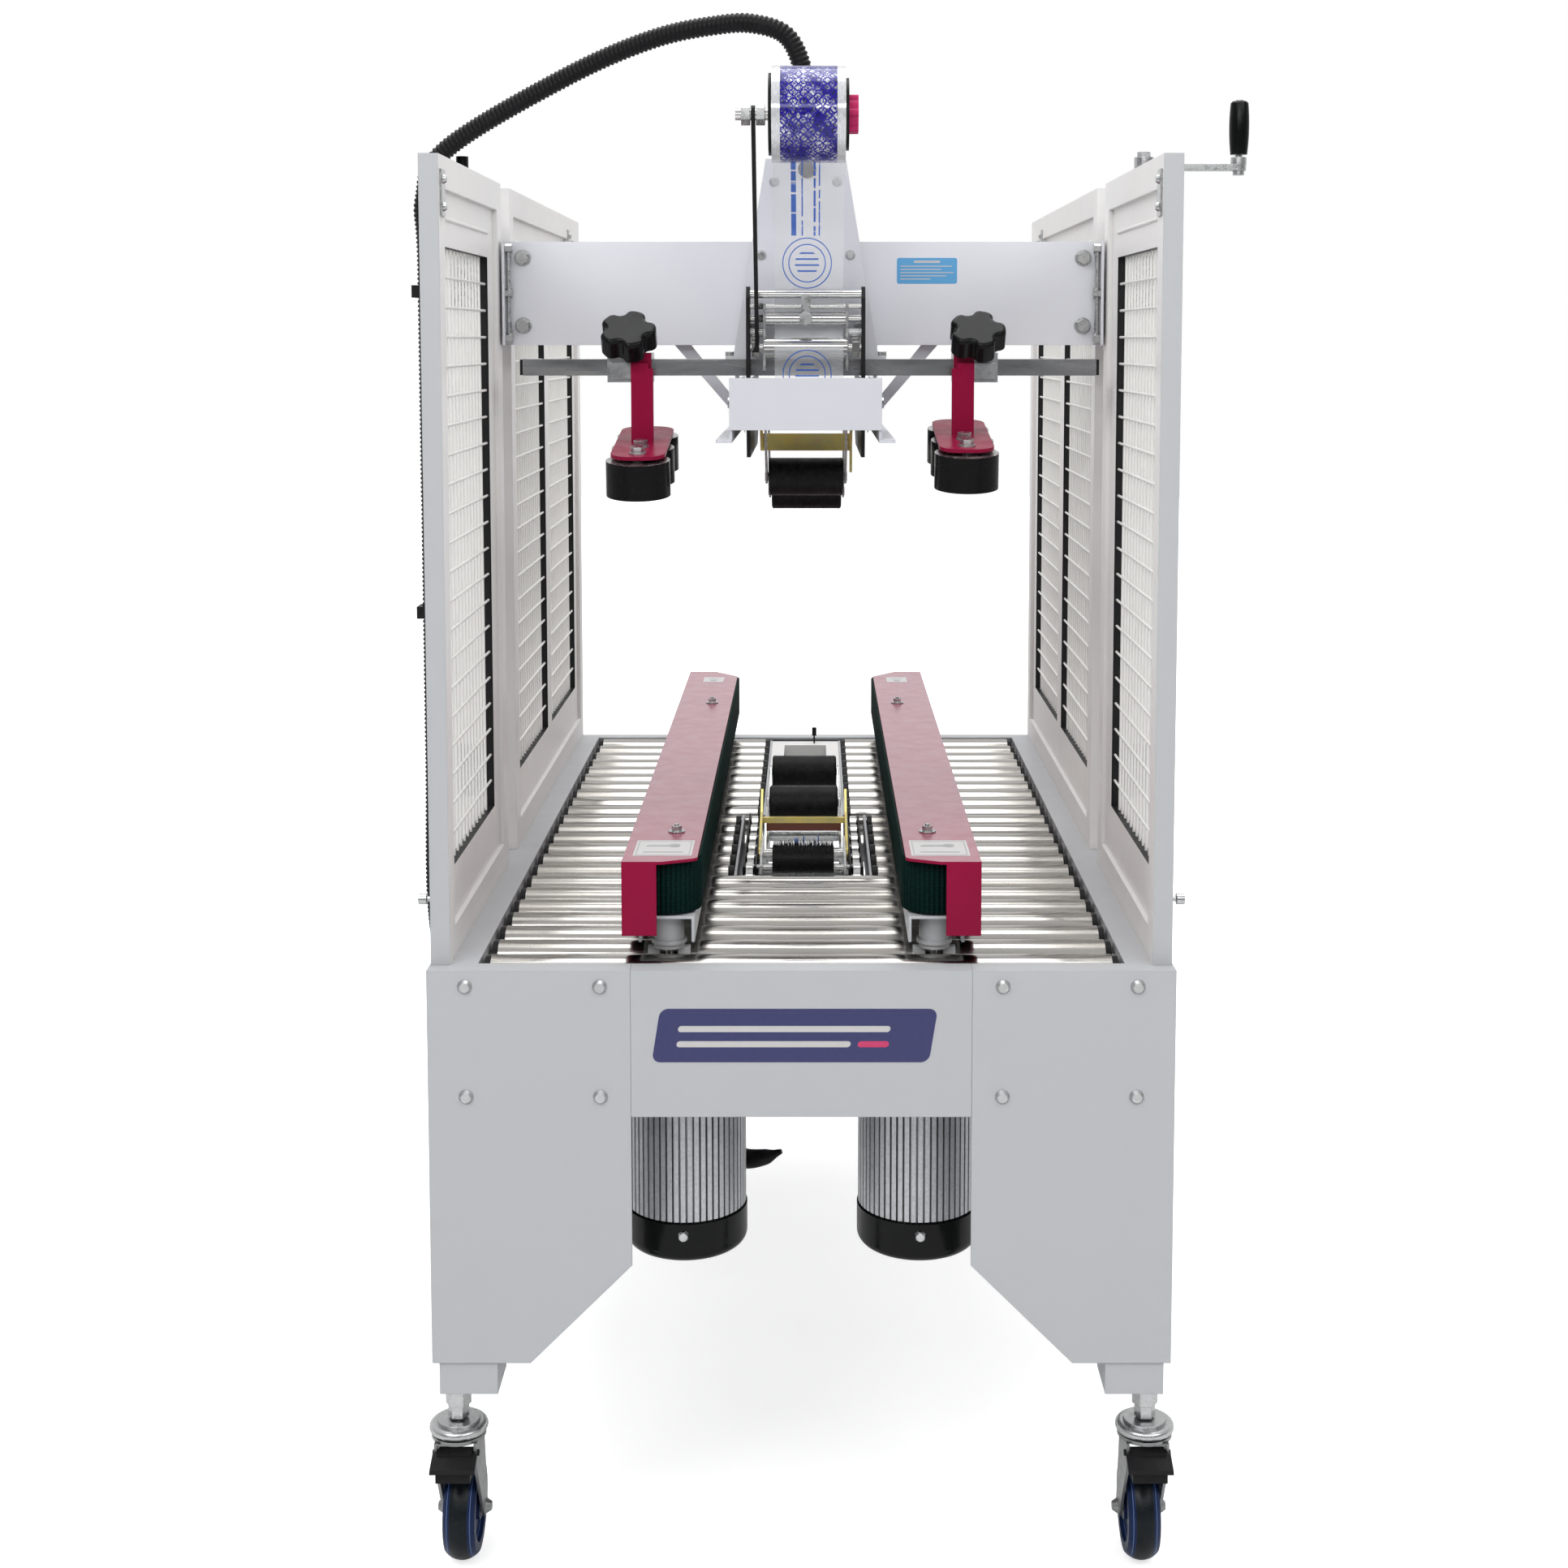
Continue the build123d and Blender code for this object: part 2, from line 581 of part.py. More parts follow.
def make_crank():
    hub = (SCREW_X, SCREW_Y)
    arm_z = (SCREW_TOP + 1, SCREW_TOP + 8)
    with BuildPart() as crank_arm:
        with BuildSketch(Plane.XY.offset(arm_z[0])) as arm:
            with Locations((hub[0] + CRANK_REACH / 2, hub[1])):
                SlotCenterToCenter(CRANK_REACH, 17)
        extrude(arm.sketch, amount=arm_z[1] - arm_z[0])
        post(hub[0], hub[1], (SCREW_TOP, SCREW_TOP + 16), 11)
        hexagon(spot(hub[0], hub[1], SCREW_TOP + 16, UPWARD), 13, 6)
        post(hub[0], hub[1], (SCREW_TOP, SCREW_TOP + 14), SCREW_RADIUS - 1.98, Mode.SUBTRACT)
        post(hub[0] + CRANK_REACH, hub[1], (arm_z[1], arm_z[1] + 8), 9)
        post(hub[0] + CRANK_REACH, hub[1], (arm_z[1], GRIP_Z[1] + 1.5), GRIP_PIN)
        post(hub[0] + CRANK_REACH, hub[1], (arm_z[0] - 5, arm_z[0]), 6.5)
    save(crank_arm, "crank_arm")
    with BuildPart() as crank_grip:
        with BuildSketch(Plane.XZ.offset(-hub[1])) as profile:
            with BuildLine():
                x = hub[0] + CRANK_REACH
                Line((x + GRIP_PIN + 0.05, GRIP_Z[0]), (x + 9.5, GRIP_Z[0]))
                Spline(
                    (x + 9.5, GRIP_Z[0]),
                    (x + 11.3, (GRIP_Z[0] + GRIP_Z[1]) / 2),
                    (x + 10, GRIP_Z[1] - 2),
                )
                Line((x + 10, GRIP_Z[1] - 2), (x + 8, GRIP_Z[1]))
                Line((x + 8, GRIP_Z[1]), (x + GRIP_PIN + 0.05, GRIP_Z[1]))
                Line((x + GRIP_PIN + 0.05, GRIP_Z[1]), (x + GRIP_PIN + 0.05, GRIP_Z[0]))
            make_face()
        revolve(profile.sketch, axis=Axis((hub[0] + CRANK_REACH, hub[1], 0), (0, 0, 1)))
    save(crank_grip, "crank_grip")


def make_crossbeam():
    """Box beam with end flanges, arms through the column slots and a nut block on each screw."""
    wall = 4
    inside = BEAM_HALF_LENGTH - SHEET
    with BuildPart() as crossbeam:
        block((-inside, inside), BEAM_Y, BEAM_Z)
        hollow_y = (BEAM_Y[0] + wall, BEAM_Y[1] - wall)
        hollow_z = (BEAM_Z[0] + wall, BEAM_Z[1] - wall)
        block((-inside, inside), hollow_y, hollow_z, Mode.SUBTRACT)
        for side in SIDES.values():
            flange_z = (BEAM_Z[0], BEAM_Z[1])
            block(span(side, inside, BEAM_HALF_LENGTH), (396, 486), flange_z)
            arm_y = (SCREW_Y - ARM_WIDTH / 2, SCREW_Y + ARM_WIDTH / 2)
            block(span(side, BEAM_HALF_LENGTH, 375), arm_y, (BEAM_Z[0] + 10, BEAM_Z[1] - 10))
            block(span(side, 370, 407), (SCREW_Y - 20, SCREW_Y + 20), BEAM_Z)
            post(side * SCREW_X, SCREW_Y, BEAM_Z, SCREW_RADIUS + 0.3, Mode.SUBTRACT)
            for z in (BEAM_Z[0] + 8, (BEAM_Z[0] + BEAM_Z[1]) / 2, BEAM_Z[1] - 8):
                hexagon(spot(side * inside, 403, z, (-side, 0, 0)), 10, 8)
            post(side * (inside - 4), 403, (BEAM_Z[0] + 8, BEAM_Z[1] - 8), 2.5)
            for z in (BEAM_Z[0] + 22, BEAM_Z[1] - 18):
                dome(spot(side * 316, BEAM_Y[0], z, FRONTWARD), 9.5, 1.5)
                hexagon(spot(side * 316, BEAM_Y[0] - 1, z, FRONTWARD), 13, 6)
    save(crossbeam, "crossbeam")


# ---- upper head ---------------------------------------------------------------------------------
def make_guide_bar():
    with BuildPart() as guide_bar:
        block(BAR_X, BAR_Y, BAR_Z)
        for x in ((BAR_X[0] - 3, BAR_X[0]), (BAR_X[1], BAR_X[1] + 3)):
            block(x, (BAR_Y[0] + 0.5, BAR_Y[1] - 0.5), (BAR_Z[0] + 0.5, BAR_Z[1] - 0.5))
    save(guide_bar, "guide_bar")


def make_head_mast():
    """Tapered sheet mast on the beam's front face, open at the back, on a foot over the bar."""
    top, bottom = GUARD_TOP + 21, BAR_Z[1]
    front, back = MAST_Y
    outer = [
        (HEAD_X - 80, bottom),
        (HEAD_X + 80, bottom),
        (HEAD_X + 43.5, top),
        (HEAD_X - 43.5, top),
    ]
    with BuildPart() as head_mast:
        plate(facing(front), outer, front - back)
        with BuildSketch(facing(front + SHEET)) as hollow:
            with BuildLine():
                Polyline(*outer, close=True)
            make_face()
            offset(amount=-SHEET, kind=Kind.INTERSECTION, mode=Mode.REPLACE)
        extrude(hollow.sketch, amount=front + SHEET - back, mode=Mode.SUBTRACT)
        block((HEAD_X - 88, HEAD_X + 88), (front, back), (bottom, bottom + SHEET))
        for side in SIDES.values():
            for x, z in ((48.5, 697), (34, 776), (58, 620)):
                dome(spot(HEAD_X + side * x, front, z, FRONTWARD), 5.5, 3)
            hexagon(spot(HEAD_X + side * 83, 345, bottom + SHEET, UPWARD), 10, 5)
        post(CONDUIT_END[0], CONDUIT_END[1], (top - 1, top + 6), 16)
        post(CONDUIT_END[0], CONDUIT_END[1], (top + 6, CONDUIT_END[2]), 14)
        dome(spot(CONDUIT_END[0], front, top - 11, FRONTWARD), 10, 5)
    save(head_mast, "head_mast")


def make_head_carriage():
    """Open tray under the beam: side walls with skid flanges, a front plate, hangers and braces."""
    half, y, z = CARRIAGE_HALF_WIDTH, CARRIAGE_Y, CARRIAGE_Z
    with BuildPart() as head_carriage:
        for side in SIDES.values():
            wall = sorted((HEAD_X + side * (half - SHEET), HEAD_X + side * half))
            skid = sorted((HEAD_X + side * (half - SHEET), HEAD_X + side * (half + 14)))
            block(wall, y, z)
            block(skid, (y[0] - 8, y[1]), (z[0], z[0] + SHEET))
            block(wall, (BEAM_Y[0] + 2, BEAM_Y[1] - 2), (z[1], BEAM_Z[0]))
            inner, outer = HEAD_X + side * half, HEAD_X + side * BRACE_REACH
            brace = [
                (outer, BEAM_Z[0]),
                (outer - side * 18, BEAM_Z[0]),
                (inner, z[0] + 38),
                (inner, z[0] + 22),
            ]
            plate(facing(430), brace, -18)
            for bolt_y in (300, 560):
                hexagon(spot(HEAD_X + side * half, bolt_y, z[0] + 40, (side, 0, 0)), 10, 4)
        front = (HEAD_X - half, HEAD_X + half)
        block(front, (y[0] - SHEET, y[0]), (z[0] + 13, z[1] + 5))
        block(front, (y[1] - SHEET, y[1]), (z[0], z[0] + 45))
    save(head_carriage, "head_carriage")


def head_side_plate(x):
    outline = [
        (283, 540),
        (283, 650),
        (292, 662),
        (314, 662),
        (322, 650),
        (322, 561),
        (655, 561),
        (655, 500),
        (600, 478),
        (300, 478),
    ]
    plate(across(x[0]), outline, x[1] - x[0])


def make_upper_head_frame():
    """Cassette side plates, guide rods and pivots, with the arm and axle that hold the tape."""
    with BuildPart() as upper_head_frame:
        for side in SIDES.values():
            inner, outer = HEAD_X + side * 60, HEAD_X + side * 64
            head_side_plate(sorted((inner, outer)))
            stay = sorted((HEAD_X + side * 43, HEAD_X + side * 46))
            block(stay, (292, 308), (572, 644))
            hexagon(spot(HEAD_X + side * 50, 300, 597, (side, 0, 0)), 19, 8)
            shaft(sorted((stay[0] if side > 0 else inner, inner if side > 0 else stay[1])), 300, 613, 5)
            tab = sorted((outer, HEAD_X + side * (CARRIAGE_HALF_WIDTH - SHEET)))
            for tab_y in (310, 620):
                shaft(tab, tab_y, 530, 7)
        for (y, z), radius in GUIDE_RODS.items():
            half = 45 if radius > 6 else 62
            shaft((HEAD_X - half, HEAD_X + half), y, z, radius)
        shaft((HEAD_X - 62, HEAD_X + 62), 303, 628, 4)
        shaft((HEAD_X - 62, HEAD_X + 62), 300, 597, 5)
        for y, z in (UPPER_FRONT_PIVOT, UPPER_REAR_PIVOT, CUTTER_PIVOT):
            shaft((HEAD_X - 62, HEAD_X + 62), y, z, PIVOT_RADIUS)
        block((HEAD_X - 62, HEAD_X + 62), (262, 296), (557, 560))
        block((HEAD_X - 5, HEAD_X + 5), (290, 296), (622, 652))
        hexagon(spot(HEAD_X, 296, 628, FRONTWARD), 13, 9)
        link(TAPE_ARM_X, (300, 600), (TAPE_Y, TAPE_Z), 9)
        shaft((TAPE_ARM_X[0] - 16, TAPE_X + TAPE_WIDTH / 2 + 1), TAPE_Y, TAPE_Z, PIVOT_RADIUS)
        for x in (TAPE_ARM_X[0] - 10, TAPE_ARM_X[1] + 1):
            hexagon(spot(x, TAPE_Y, TAPE_Z, (1, 0, 0)), 19, 9)
    save(upper_head_frame, "upper_head_frame")


def make_tape():
    """The hub with its flanges and hand knob, and the roll of tape that sits on it."""
    low, high = TAPE_X - TAPE_WIDTH / 2, TAPE_X + TAPE_WIDTH / 2
    with BuildPart() as tape_hub:
        shaft((low - 3.4, high + 0.3), TAPE_Y, TAPE_Z, CORE_RADIUS - 0.2)
        shaft((low - 3.4, low - 0.3), TAPE_Y, TAPE_Z, CORE_RADIUS + 3)
        shaft((high + 0.3, high + 3.4), TAPE_Y, TAPE_Z, CORE_RADIUS - 2)
        with BuildSketch(across(high + 3.4)) as knob:
            with Locations((TAPE_Y, TAPE_Z)):
                Circle(18)
            with Locations(*[
                (TAPE_Y + 17 * math.cos(a), TAPE_Z + 17 * math.sin(a))
                for a in [math.radians(60 * index) for index in range(6)]
            ]):
                Circle(4)
        extrude(knob.sketch, amount=9.5)
        shaft((low - 3.4, high + 1.2), TAPE_Y, TAPE_Z, PIVOT_RADIUS + 0.1, Mode.SUBTRACT)
    save(tape_hub, "tape_hub")
    with BuildPart() as tape_roll:
        shaft((low, high), TAPE_Y, TAPE_Z, TAPE_RADIUS)
        shaft((low, high), TAPE_Y, TAPE_Z, CORE_RADIUS, Mode.SUBTRACT)
    save(tape_roll, "tape_roll")


def make_head_arm(name, centre_x, pivot, axle, gap):
    """A sprung roller arm: two side links, a tube on the pivot shaft and a fixed axle."""
    with BuildPart() as arm:
        for side in SIDES.values():
            link(sorted((centre_x + side * gap, centre_x + side * (gap + 2.5))), pivot, axle, 8)
        shaft((centre_x - gap, centre_x + gap), *pivot, PIVOT_RADIUS + 2.5)
        reach = gap + 2.5
        bore = (centre_x - reach, centre_x + reach)
        shaft(bore, *pivot, PIVOT_RADIUS + 0.1, Mode.SUBTRACT)
        shaft((centre_x - reach - 0.6, centre_x + reach + 0.6), *axle, AXLE_RADIUS)
    save(arm, f"{name}_arm")
    with BuildPart() as roller:
        half = HEAD_ROLLER_WIDTH / 2
        shaft((centre_x - half, centre_x + half), *axle, HEAD_ROLLER_RADIUS)
        chamfer(roller.edges(), 1)
        shaft((centre_x - half, centre_x + half), *axle, AXLE_RADIUS + 0.1, Mode.SUBTRACT)
    save(roller, f"{name}_roller")


def make_upper_cutter():
    """Yellow knife guard on two links, outside the roller arms."""
    with BuildPart() as upper_cutter:
        for side in SIDES.values():
            links = sorted((HEAD_X + side * 50.5, HEAD_X + side * 53.5))
            link(links, CUTTER_PIVOT, CUTTER_BLADE, 8.5)
            collar = sorted((HEAD_X + side * 53.5, HEAD_X + side * 58))
            shaft(collar, *CUTTER_PIVOT, PIVOT_RADIUS + 2.5)
        y, z = CUTTER_BLADE
        block((HEAD_X - 53.5, HEAD_X + 53.5), (y - 1.5, y + 1.5), (z - 11, z + 9))
        block((HEAD_X + 50.5, HEAD_X + 53.5), (y - 7, y + 5), (z - 36, z))
        bore = (HEAD_X - 58, HEAD_X + 58)
        shaft(bore, *CUTTER_PIVOT, PIVOT_RADIUS + 0.1, Mode.SUBTRACT)
    save(upper_cutter, "upper_cutter")


# ---- squeezers ----------------------------------------------------------------------------------
def make_squeezer(name, side, drop):
    """A sliding clamp on the guide bar that carries a strap, a tilted plate and three rollers."""
    x = side * SQUEEZER_X
    clamp_x = (x + side * 14 - 24, x + side * 14 + 24)
    knob_base = knob_plane(side)
    plate_z = BAR_Z[0] - drop
    tilted = Plane(origin=(x, STRAP_Y[0], plate_z), x_dir=(1, 0, 0), z_dir=tilt_normal())

    def along(distance, height):
        origin = tilted.from_local_coords((0, distance, height))
        return Plane(origin=origin, x_dir=(1, 0, 0), z_dir=tilt_normal())

    reach = SQUEEZE_ROLLER_PITCH
    with BuildPart() as squeezer:
        block(clamp_x, (STRAP_Y[1], 351), (BAR_Z[0] - 7, BAR_Z[1] + 7))
        extrude(knob_circle(knob_base, 10), amount=12)
        block((clamp_x[0], clamp_x[1]), BAR_SLOT_Y, BAR_SLOT_Z, Mode.SUBTRACT)
        extrude(knob_circle(knob_base.offset(-3), STUD_RADIUS + 0.2), amount=16, mode=Mode.SUBTRACT)
        block((x - 12, x + 12), STRAP_Y, (plate_z - 1, BAR_Z[0] + 8))
        block((clamp_x[0] + 3, clamp_x[1] - 3), STRAP_Y, (BAR_Z[0] - 3, BAR_Z[1] - 4))
        with BuildSketch(tilted) as carrier:
            with Locations((0, 8)):
                RectangleRounded(58, 2 * reach + 40, 22)
        extrude(carrier.sketch, amount=4, both=False)
        for offset_y in (-reach + 8, 8, reach + 8):
            foot = -3 - SQUEEZE_ROLLER_HEIGHT
            wheel = knob_circle(along(offset_y, foot), SQUEEZE_ROLLER_RADIUS)
            extrude(wheel, amount=SQUEEZE_ROLLER_HEIGHT)
            axle = knob_circle(along(offset_y, foot - 1), 6)
            extrude(axle, amount=SQUEEZE_ROLLER_HEIGHT + 6)
        for offset_y in (8 - reach, -24):
            extrude(knob_circle(along(offset_y, 4), 9), amount=1.5)
            hexagon(along(offset_y, 5.5), 13, 6)
    save(squeezer, f"squeezer_{name}")


def tilt_normal():
    """The upward normal of the squeezer plate, whose near end hangs lower."""
    tilt = math.radians(SQUEEZER_TILT)
    return (0, -math.sin(tilt), math.cos(tilt))


def knob_plane(side):
    """The plane on the clamp's top front edge that the star knob screws into."""
    tilt = math.radians(KNOB_TILT)
    origin = (side * (SQUEEZER_X + 15), BAR_Y[0], BAR_Z[1] + 4)
    return Plane(origin=origin, x_dir=(1, 0, 0), z_dir=(0, -math.sin(tilt), math.cos(tilt)))


def knob_circle(plane, radius):
    """A round outline on a tilted plane."""
    with BuildSketch(plane) as outline:
        Circle(radius)
    return outline.sketch


def make_star_knob(name, side):
    """Five-lobed clamp knob with its stud."""
    base = knob_plane(side)
    with BuildPart() as star_knob:
        extrude(knob_circle(base.offset(-2), STUD_RADIUS), amount=16)
        extrude(knob_circle(base.offset(12.2), 13), amount=6)
        with BuildSketch(base.offset(16)) as star:
            Circle(KNOB_RADIUS)
            with PolarLocations(NOTCH_REACH, 5, start_angle=36):
                Circle(NOTCH_RADIUS, mode=Mode.SUBTRACT)
            fillet(star.vertices(), LOBE_ROUNDING)
        extrude(star.sketch, amount=24)
        top = star_knob.faces().sort_by(Axis(base.origin, base.z_dir))[-1]
        fillet(top.edges(), KNOB_TOP_ROUNDING)
    save(star_knob, f"star_knob_{name}")


# ---- lower head ---------------------------------------------------------------------------------
def make_lower_head_frame():
    """Cassette sunk in the table: side plates, pivots, brush, skate wheels and the rear tray."""
    outline = [
        (392, -85),
        (1180, -85),
        (1180, -4),
        (640, -4),
        (600, -28),
        (505, -28),
        (495, 14),
        (400, 14),
        (392, 4),
    ]
    with BuildPart() as lower_head_frame:
        for side in SIDES.values():
            cheek = span(side, CHEEK_X[0], CHEEK_X[1])
            plate(across(cheek[0]), outline, cheek[1] - cheek[0])
            block(cheek, (BEARER_Y[0] - 6, 392), (BEARER_Z[1], BEARER_Z[1] + 4))
            block(cheek, (1180, BEARER_Y[2] + 6), (BEARER_Z[1], BEARER_Z[1] + 4))
            block(span(side, 31, CHEEK_X[0]), (870, 1180), (-9, -4))
            for plate_x in ((54, 56), (68, 70)):
                block(span(side, *plate_x), SKATE_Y, (-32, -1))
            block(span(side, CHEEK_X[1], 70), SKATE_Y, (-35, -32))
            for index in range(SKATE_COUNT):
                y = SKATE_FIRST_Y + SKATE_PITCH * index
                shaft(span(side, 54, 71), y, SKATE_Z, 3)
                shaft(span(side, 58, 66), y, SKATE_Z, SKATE_RADIUS)
        block((-CHEEK_X[0], CHEEK_X[0]), (1150, 1180), (-9, -4))
        block((-CHEEK_X[0], CHEEK_X[0]), (1150, 1153), (-60, -9))
        for y, z in (LOWER_FRONT_PIVOT, LOWER_REAR_PIVOT):
            shaft((-CHEEK_X[0], CHEEK_X[0]), y, z, PIVOT_RADIUS)
        shaft((-LOWER_CUTTER_X[1], LOWER_CUTTER_X[1]), *LOWER_CUTTER_PIVOT, PIVOT_RADIUS)
        shaft((-CHEEK_X[0], CHEEK_X[0]), 445, 6, 4)
        shaft((-54, 54), 412, -3, 2.5)
        shaft((-35.5, 35.5), 412, 6, 16)
        block((-CHEEK_X[0], CHEEK_X[0]), (455, 458), (-85, -20))
        block((-CHEEK_X[0], CHEEK_X[0]), (1100, 1103), (-85, -20))
        post(13.5, 1165, (-4, 8), 1.2)
        post(13.5, 1165, (8, 20), 3.4)
    save(lower_head_frame, "lower_head_frame")


def make_lower_cutter():
    """Yellow knife guard of the lower head with its apron, on links outside the cassette's cheeks."""
    with BuildPart() as lower_cutter:
        for side in SIDES.values():
            links = span(side, *LOWER_CUTTER_X)
            link(links, LOWER_CUTTER_PIVOT, LOWER_CUTTER_BLADE, 9)
            link(links, LOWER_CUTTER_BLADE, LOWER_CUTTER_FINGER, 3)
            shaft(links, *LOWER_CUTTER_PIVOT, PIVOT_RADIUS + 0.1, Mode.SUBTRACT)
        y, z = LOWER_CUTTER_BLADE
        block((-LOWER_CUTTER_X[1], LOWER_CUTTER_X[1]), (y - 4, y + 4), (z - 3.3, z + 3.3))
        apron_half = CHEEK_X[0] - 1
        block((-apron_half, apron_half), (y - 4, y - 2), (z - 13, z))
    save(lower_cutter, "lower_cutter")


# ---- side belts ---------------------------------------------------------------------------------
def make_belt_cover(name, side):
    """Sheet cover over the belt: top, outer side and ends, open towards the carton."""
    low, high = COVER_X
    front, rear = BELT_UNIT_Y
    shoulder = 136
    outline = [
        (side * high, front),
        (side * shoulder, front),
        (side * low, front + 15),
        (side * low, rear - 44),
        (side * shoulder, rear),
        (side * high, rear),
    ]
    with BuildPart() as belt_cover:
        with BuildSketch(Plane.XY.offset(COVER_Z[1] - SHEET)) as top:
            with BuildLine():
                Polyline(*outline, close=True)
            make_face()
            inner_corners = top.vertices().sort_by(Axis.X, reverse=side < 0)[:4].sort_by(Axis.Y)
            fillet(inner_corners[:2], 8)
            fillet(inner_corners[2:], 14)
        extrude(top.sketch, amount=SHEET)
        walls_z = (COVER_Z[0], COVER_Z[1] - SHEET)
        block(span(side, high - SHEET, high), BELT_UNIT_Y, walls_z)
        block(span(side, shoulder + 5, high), (front, front + SHEET), walls_z)
        block(span(side, shoulder + 5, high), (rear - SHEET, rear), walls_z)
        for y in STUD_Y:
            post(side * STUD_X, y, (COVER_Z[1] - SHEET, COVER_Z[1]), COVER_STUD_RADIUS + 0.5, Mode.SUBTRACT)
    save(belt_cover, f"belt_cover_{name}")


def belt_loop(side, radius):
    """The outline of a belt stretched round both pulleys, at one turning radius."""
    middle = (PULLEY_Y[0] + PULLEY_Y[1]) / 2
    with BuildSketch(Plane.XY.offset(BELT_Z[0])) as outline:
        with Locations(Location((side * BELT_UNIT_X, middle, 0), (0, 0, 90))):
            SlotCenterToCenter(PULLEY_Y[1] - PULLEY_Y[0], 2 * radius)
    return outline.sketch


def make_drive_belt(name, side):
    with BuildPart() as drive_belt:
        extrude(belt_loop(side, BELT_TURN_RADIUS), amount=BELT_Z[1] - BELT_Z[0])
        inside = belt_loop(side, BELT_TURN_RADIUS - BELT_THICKNESS)
        extrude(inside, amount=BELT_Z[1] - BELT_Z[0], mode=Mode.SUBTRACT)
    save(drive_belt, f"drive_belt_{name}")


def make_drive_pulley(name, side):
    x = side * BELT_UNIT_X
    pulley_z = (BELT_Z[0] + 1, BELT_Z[1] - 1)
    with BuildPart() as drive_pulley:
        post(x, PULLEY_Y[0], pulley_z, BELT_TURN_RADIUS - BELT_THICKNESS - 0.05)
        post(x, PULLEY_Y[0], (GEARBOX_Z[1] - 15, pulley_z[0]), DRIVE_SHAFT_RADIUS)
    save(drive_pulley, f"drive_pulley_{name}")


def make_belt_frame(name, side):
    """Belt carrier: a channel and core above the rollers, a beam below, joined by slim necks."""
    x = BELT_UNIT_X
    front_y, rear_y = PULLEY_Y
    tail = BELT_TURN_RADIUS - BELT_THICKNESS - 0.05
    with BuildPart() as belt_frame:
        block(span(side, *CHANNEL_X), (42, 1182), CHANNEL_Z)
        hollow = span(side, CHANNEL_X[0] + SHEET, CHANNEL_X[1] - SHEET)
        block(hollow, (42, 1182), (CHANNEL_Z[0], CHANNEL_Z[1] - SHEET), Mode.SUBTRACT)
        block(span(side, 106, 158), (112, 1118), (CHANNEL_Z[1], BELT_Z[1] - 2))
        post(side * x, rear_y, (BELT_Z[0] + 1, BELT_Z[1] - 1), tail)
        post(side * x, rear_y, (CHANNEL_Z[1], BELT_Z[0] + 1), 9)
        post(side * x, front_y, (3, CHANNEL_Z[1] - SHEET), 15)
        post(side * x, front_y, (8, 12), 17.5)
        for low, high in ((x - 21, x - 9), (x + 9, x + 21)):
            block(span(side, low, high), (front_y - 4.8, front_y + 4.8), (UNDER_Z[0], 3))
        block(span(side, x - 20, x + 20), (REAR_NECK_Y - 4.8, REAR_NECK_Y + 4.8), (UNDER_Z[1], 39))
        block(span(side, x - 20, x + 20), (100, 1110), UNDER_Z)
        block(span(side, 84, 172), (52, 180), (UNDER_Z[0], UNDER_Z[0] + 6))
        for y in ROD_Y:
            block(span(side, x - 25, x + 25), (y - 20, y + 20), (ROD_Z - 18, UNDER_Z[0]))
            shaft(span(side, x - 25, x + 25), y, ROD_Z, ROD_RADIUS + 0.1, Mode.SUBTRACT)
        shaft_z = (UNDER_Z[0], CHANNEL_Z[1])
        post(side * x, front_y, shaft_z, DRIVE_SHAFT_RADIUS + 1.5, Mode.SUBTRACT)
        for y in STUD_Y:
            post(side * STUD_X, y, (BELT_Z[1] - 4, STUD_TOP), COVER_STUD_RADIUS)
            post(side * STUD_X, y, (COVER_Z[1] + 0.2, COVER_Z[1] + 1.4), 8.7)
            hexagon(spot(side * STUD_X, y, COVER_Z[1] + 1.4, UPWARD), 9, 5)
    save(belt_frame, f"belt_frame_{name}")


def make_motor(name, side):
    """Vertical gear motor: gearbox, finned body, fan cap and a terminal box."""
    x = side * MOTOR_X
    fin = 4.8
    with BuildPart() as motor:
        block(span(side, 84, 172), (60, 178), GEARBOX_Z)
        block(span(side, 108, 156), (52, 60), (GEARBOX_Z[0] + 6, GEARBOX_Z[1]))
        post(side * BELT_UNIT_X, PULLEY_Y[0], (GEARBOX_Z[1] - 18, GEARBOX_Z[1]), 5.4, Mode.SUBTRACT)
        post(x, MOTOR_Y, (CAP_Z[1], GEARBOX_Z[0]), MOTOR_RADIUS - 6)
        with BuildSketch(Plane.XY.offset(CAP_Z[1] + 2)) as fins:
            with Locations((x, MOTOR_Y)):
                with PolarLocations(MOTOR_RADIUS - 4.5, FIN_COUNT):
                    Rectangle(6.5, fin)
        extrude(fins.sketch, amount=GEARBOX_Z[0] - CAP_Z[1] - 16)
        post(x, MOTOR_Y, (GEARBOX_Z[0] - 14, GEARBOX_Z[0]), MOTOR_RADIUS - 1)
        block(span(side, MOTOR_X - 34, MOTOR_X + 34), (MOTOR_Y + 50, MOTOR_Y + 92), (-236, -158))
        with BuildSketch(Plane.XY.offset(CAP_Z[0])) as cap:
            with Locations((x, MOTOR_Y)):
                Circle(MOTOR_RADIUS)
        cap_body = extrude(cap.sketch, amount=CAP_Z[1] - CAP_Z[0])
        fillet(cap_body.faces().sort_by(Axis.Z)[0].edges(), 12)
        dome(spot(x, MOTOR_Y - MOTOR_RADIUS + 0.4, CAP_Z[1] - 12, FRONTWARD), 6, 3)
    save(motor, f"motor_{name}")


# ---- casters ------------------------------------------------------------------------------------
def corner(name):
    """A caster's place and which way it trails: towards the middle of the table."""
    x = CASTER_X * (1 if "right" in name else -1)
    if "front" in name:
        return x, CASTER_Y, 1
    return x, TABLE_LENGTH - CASTER_Y, -1


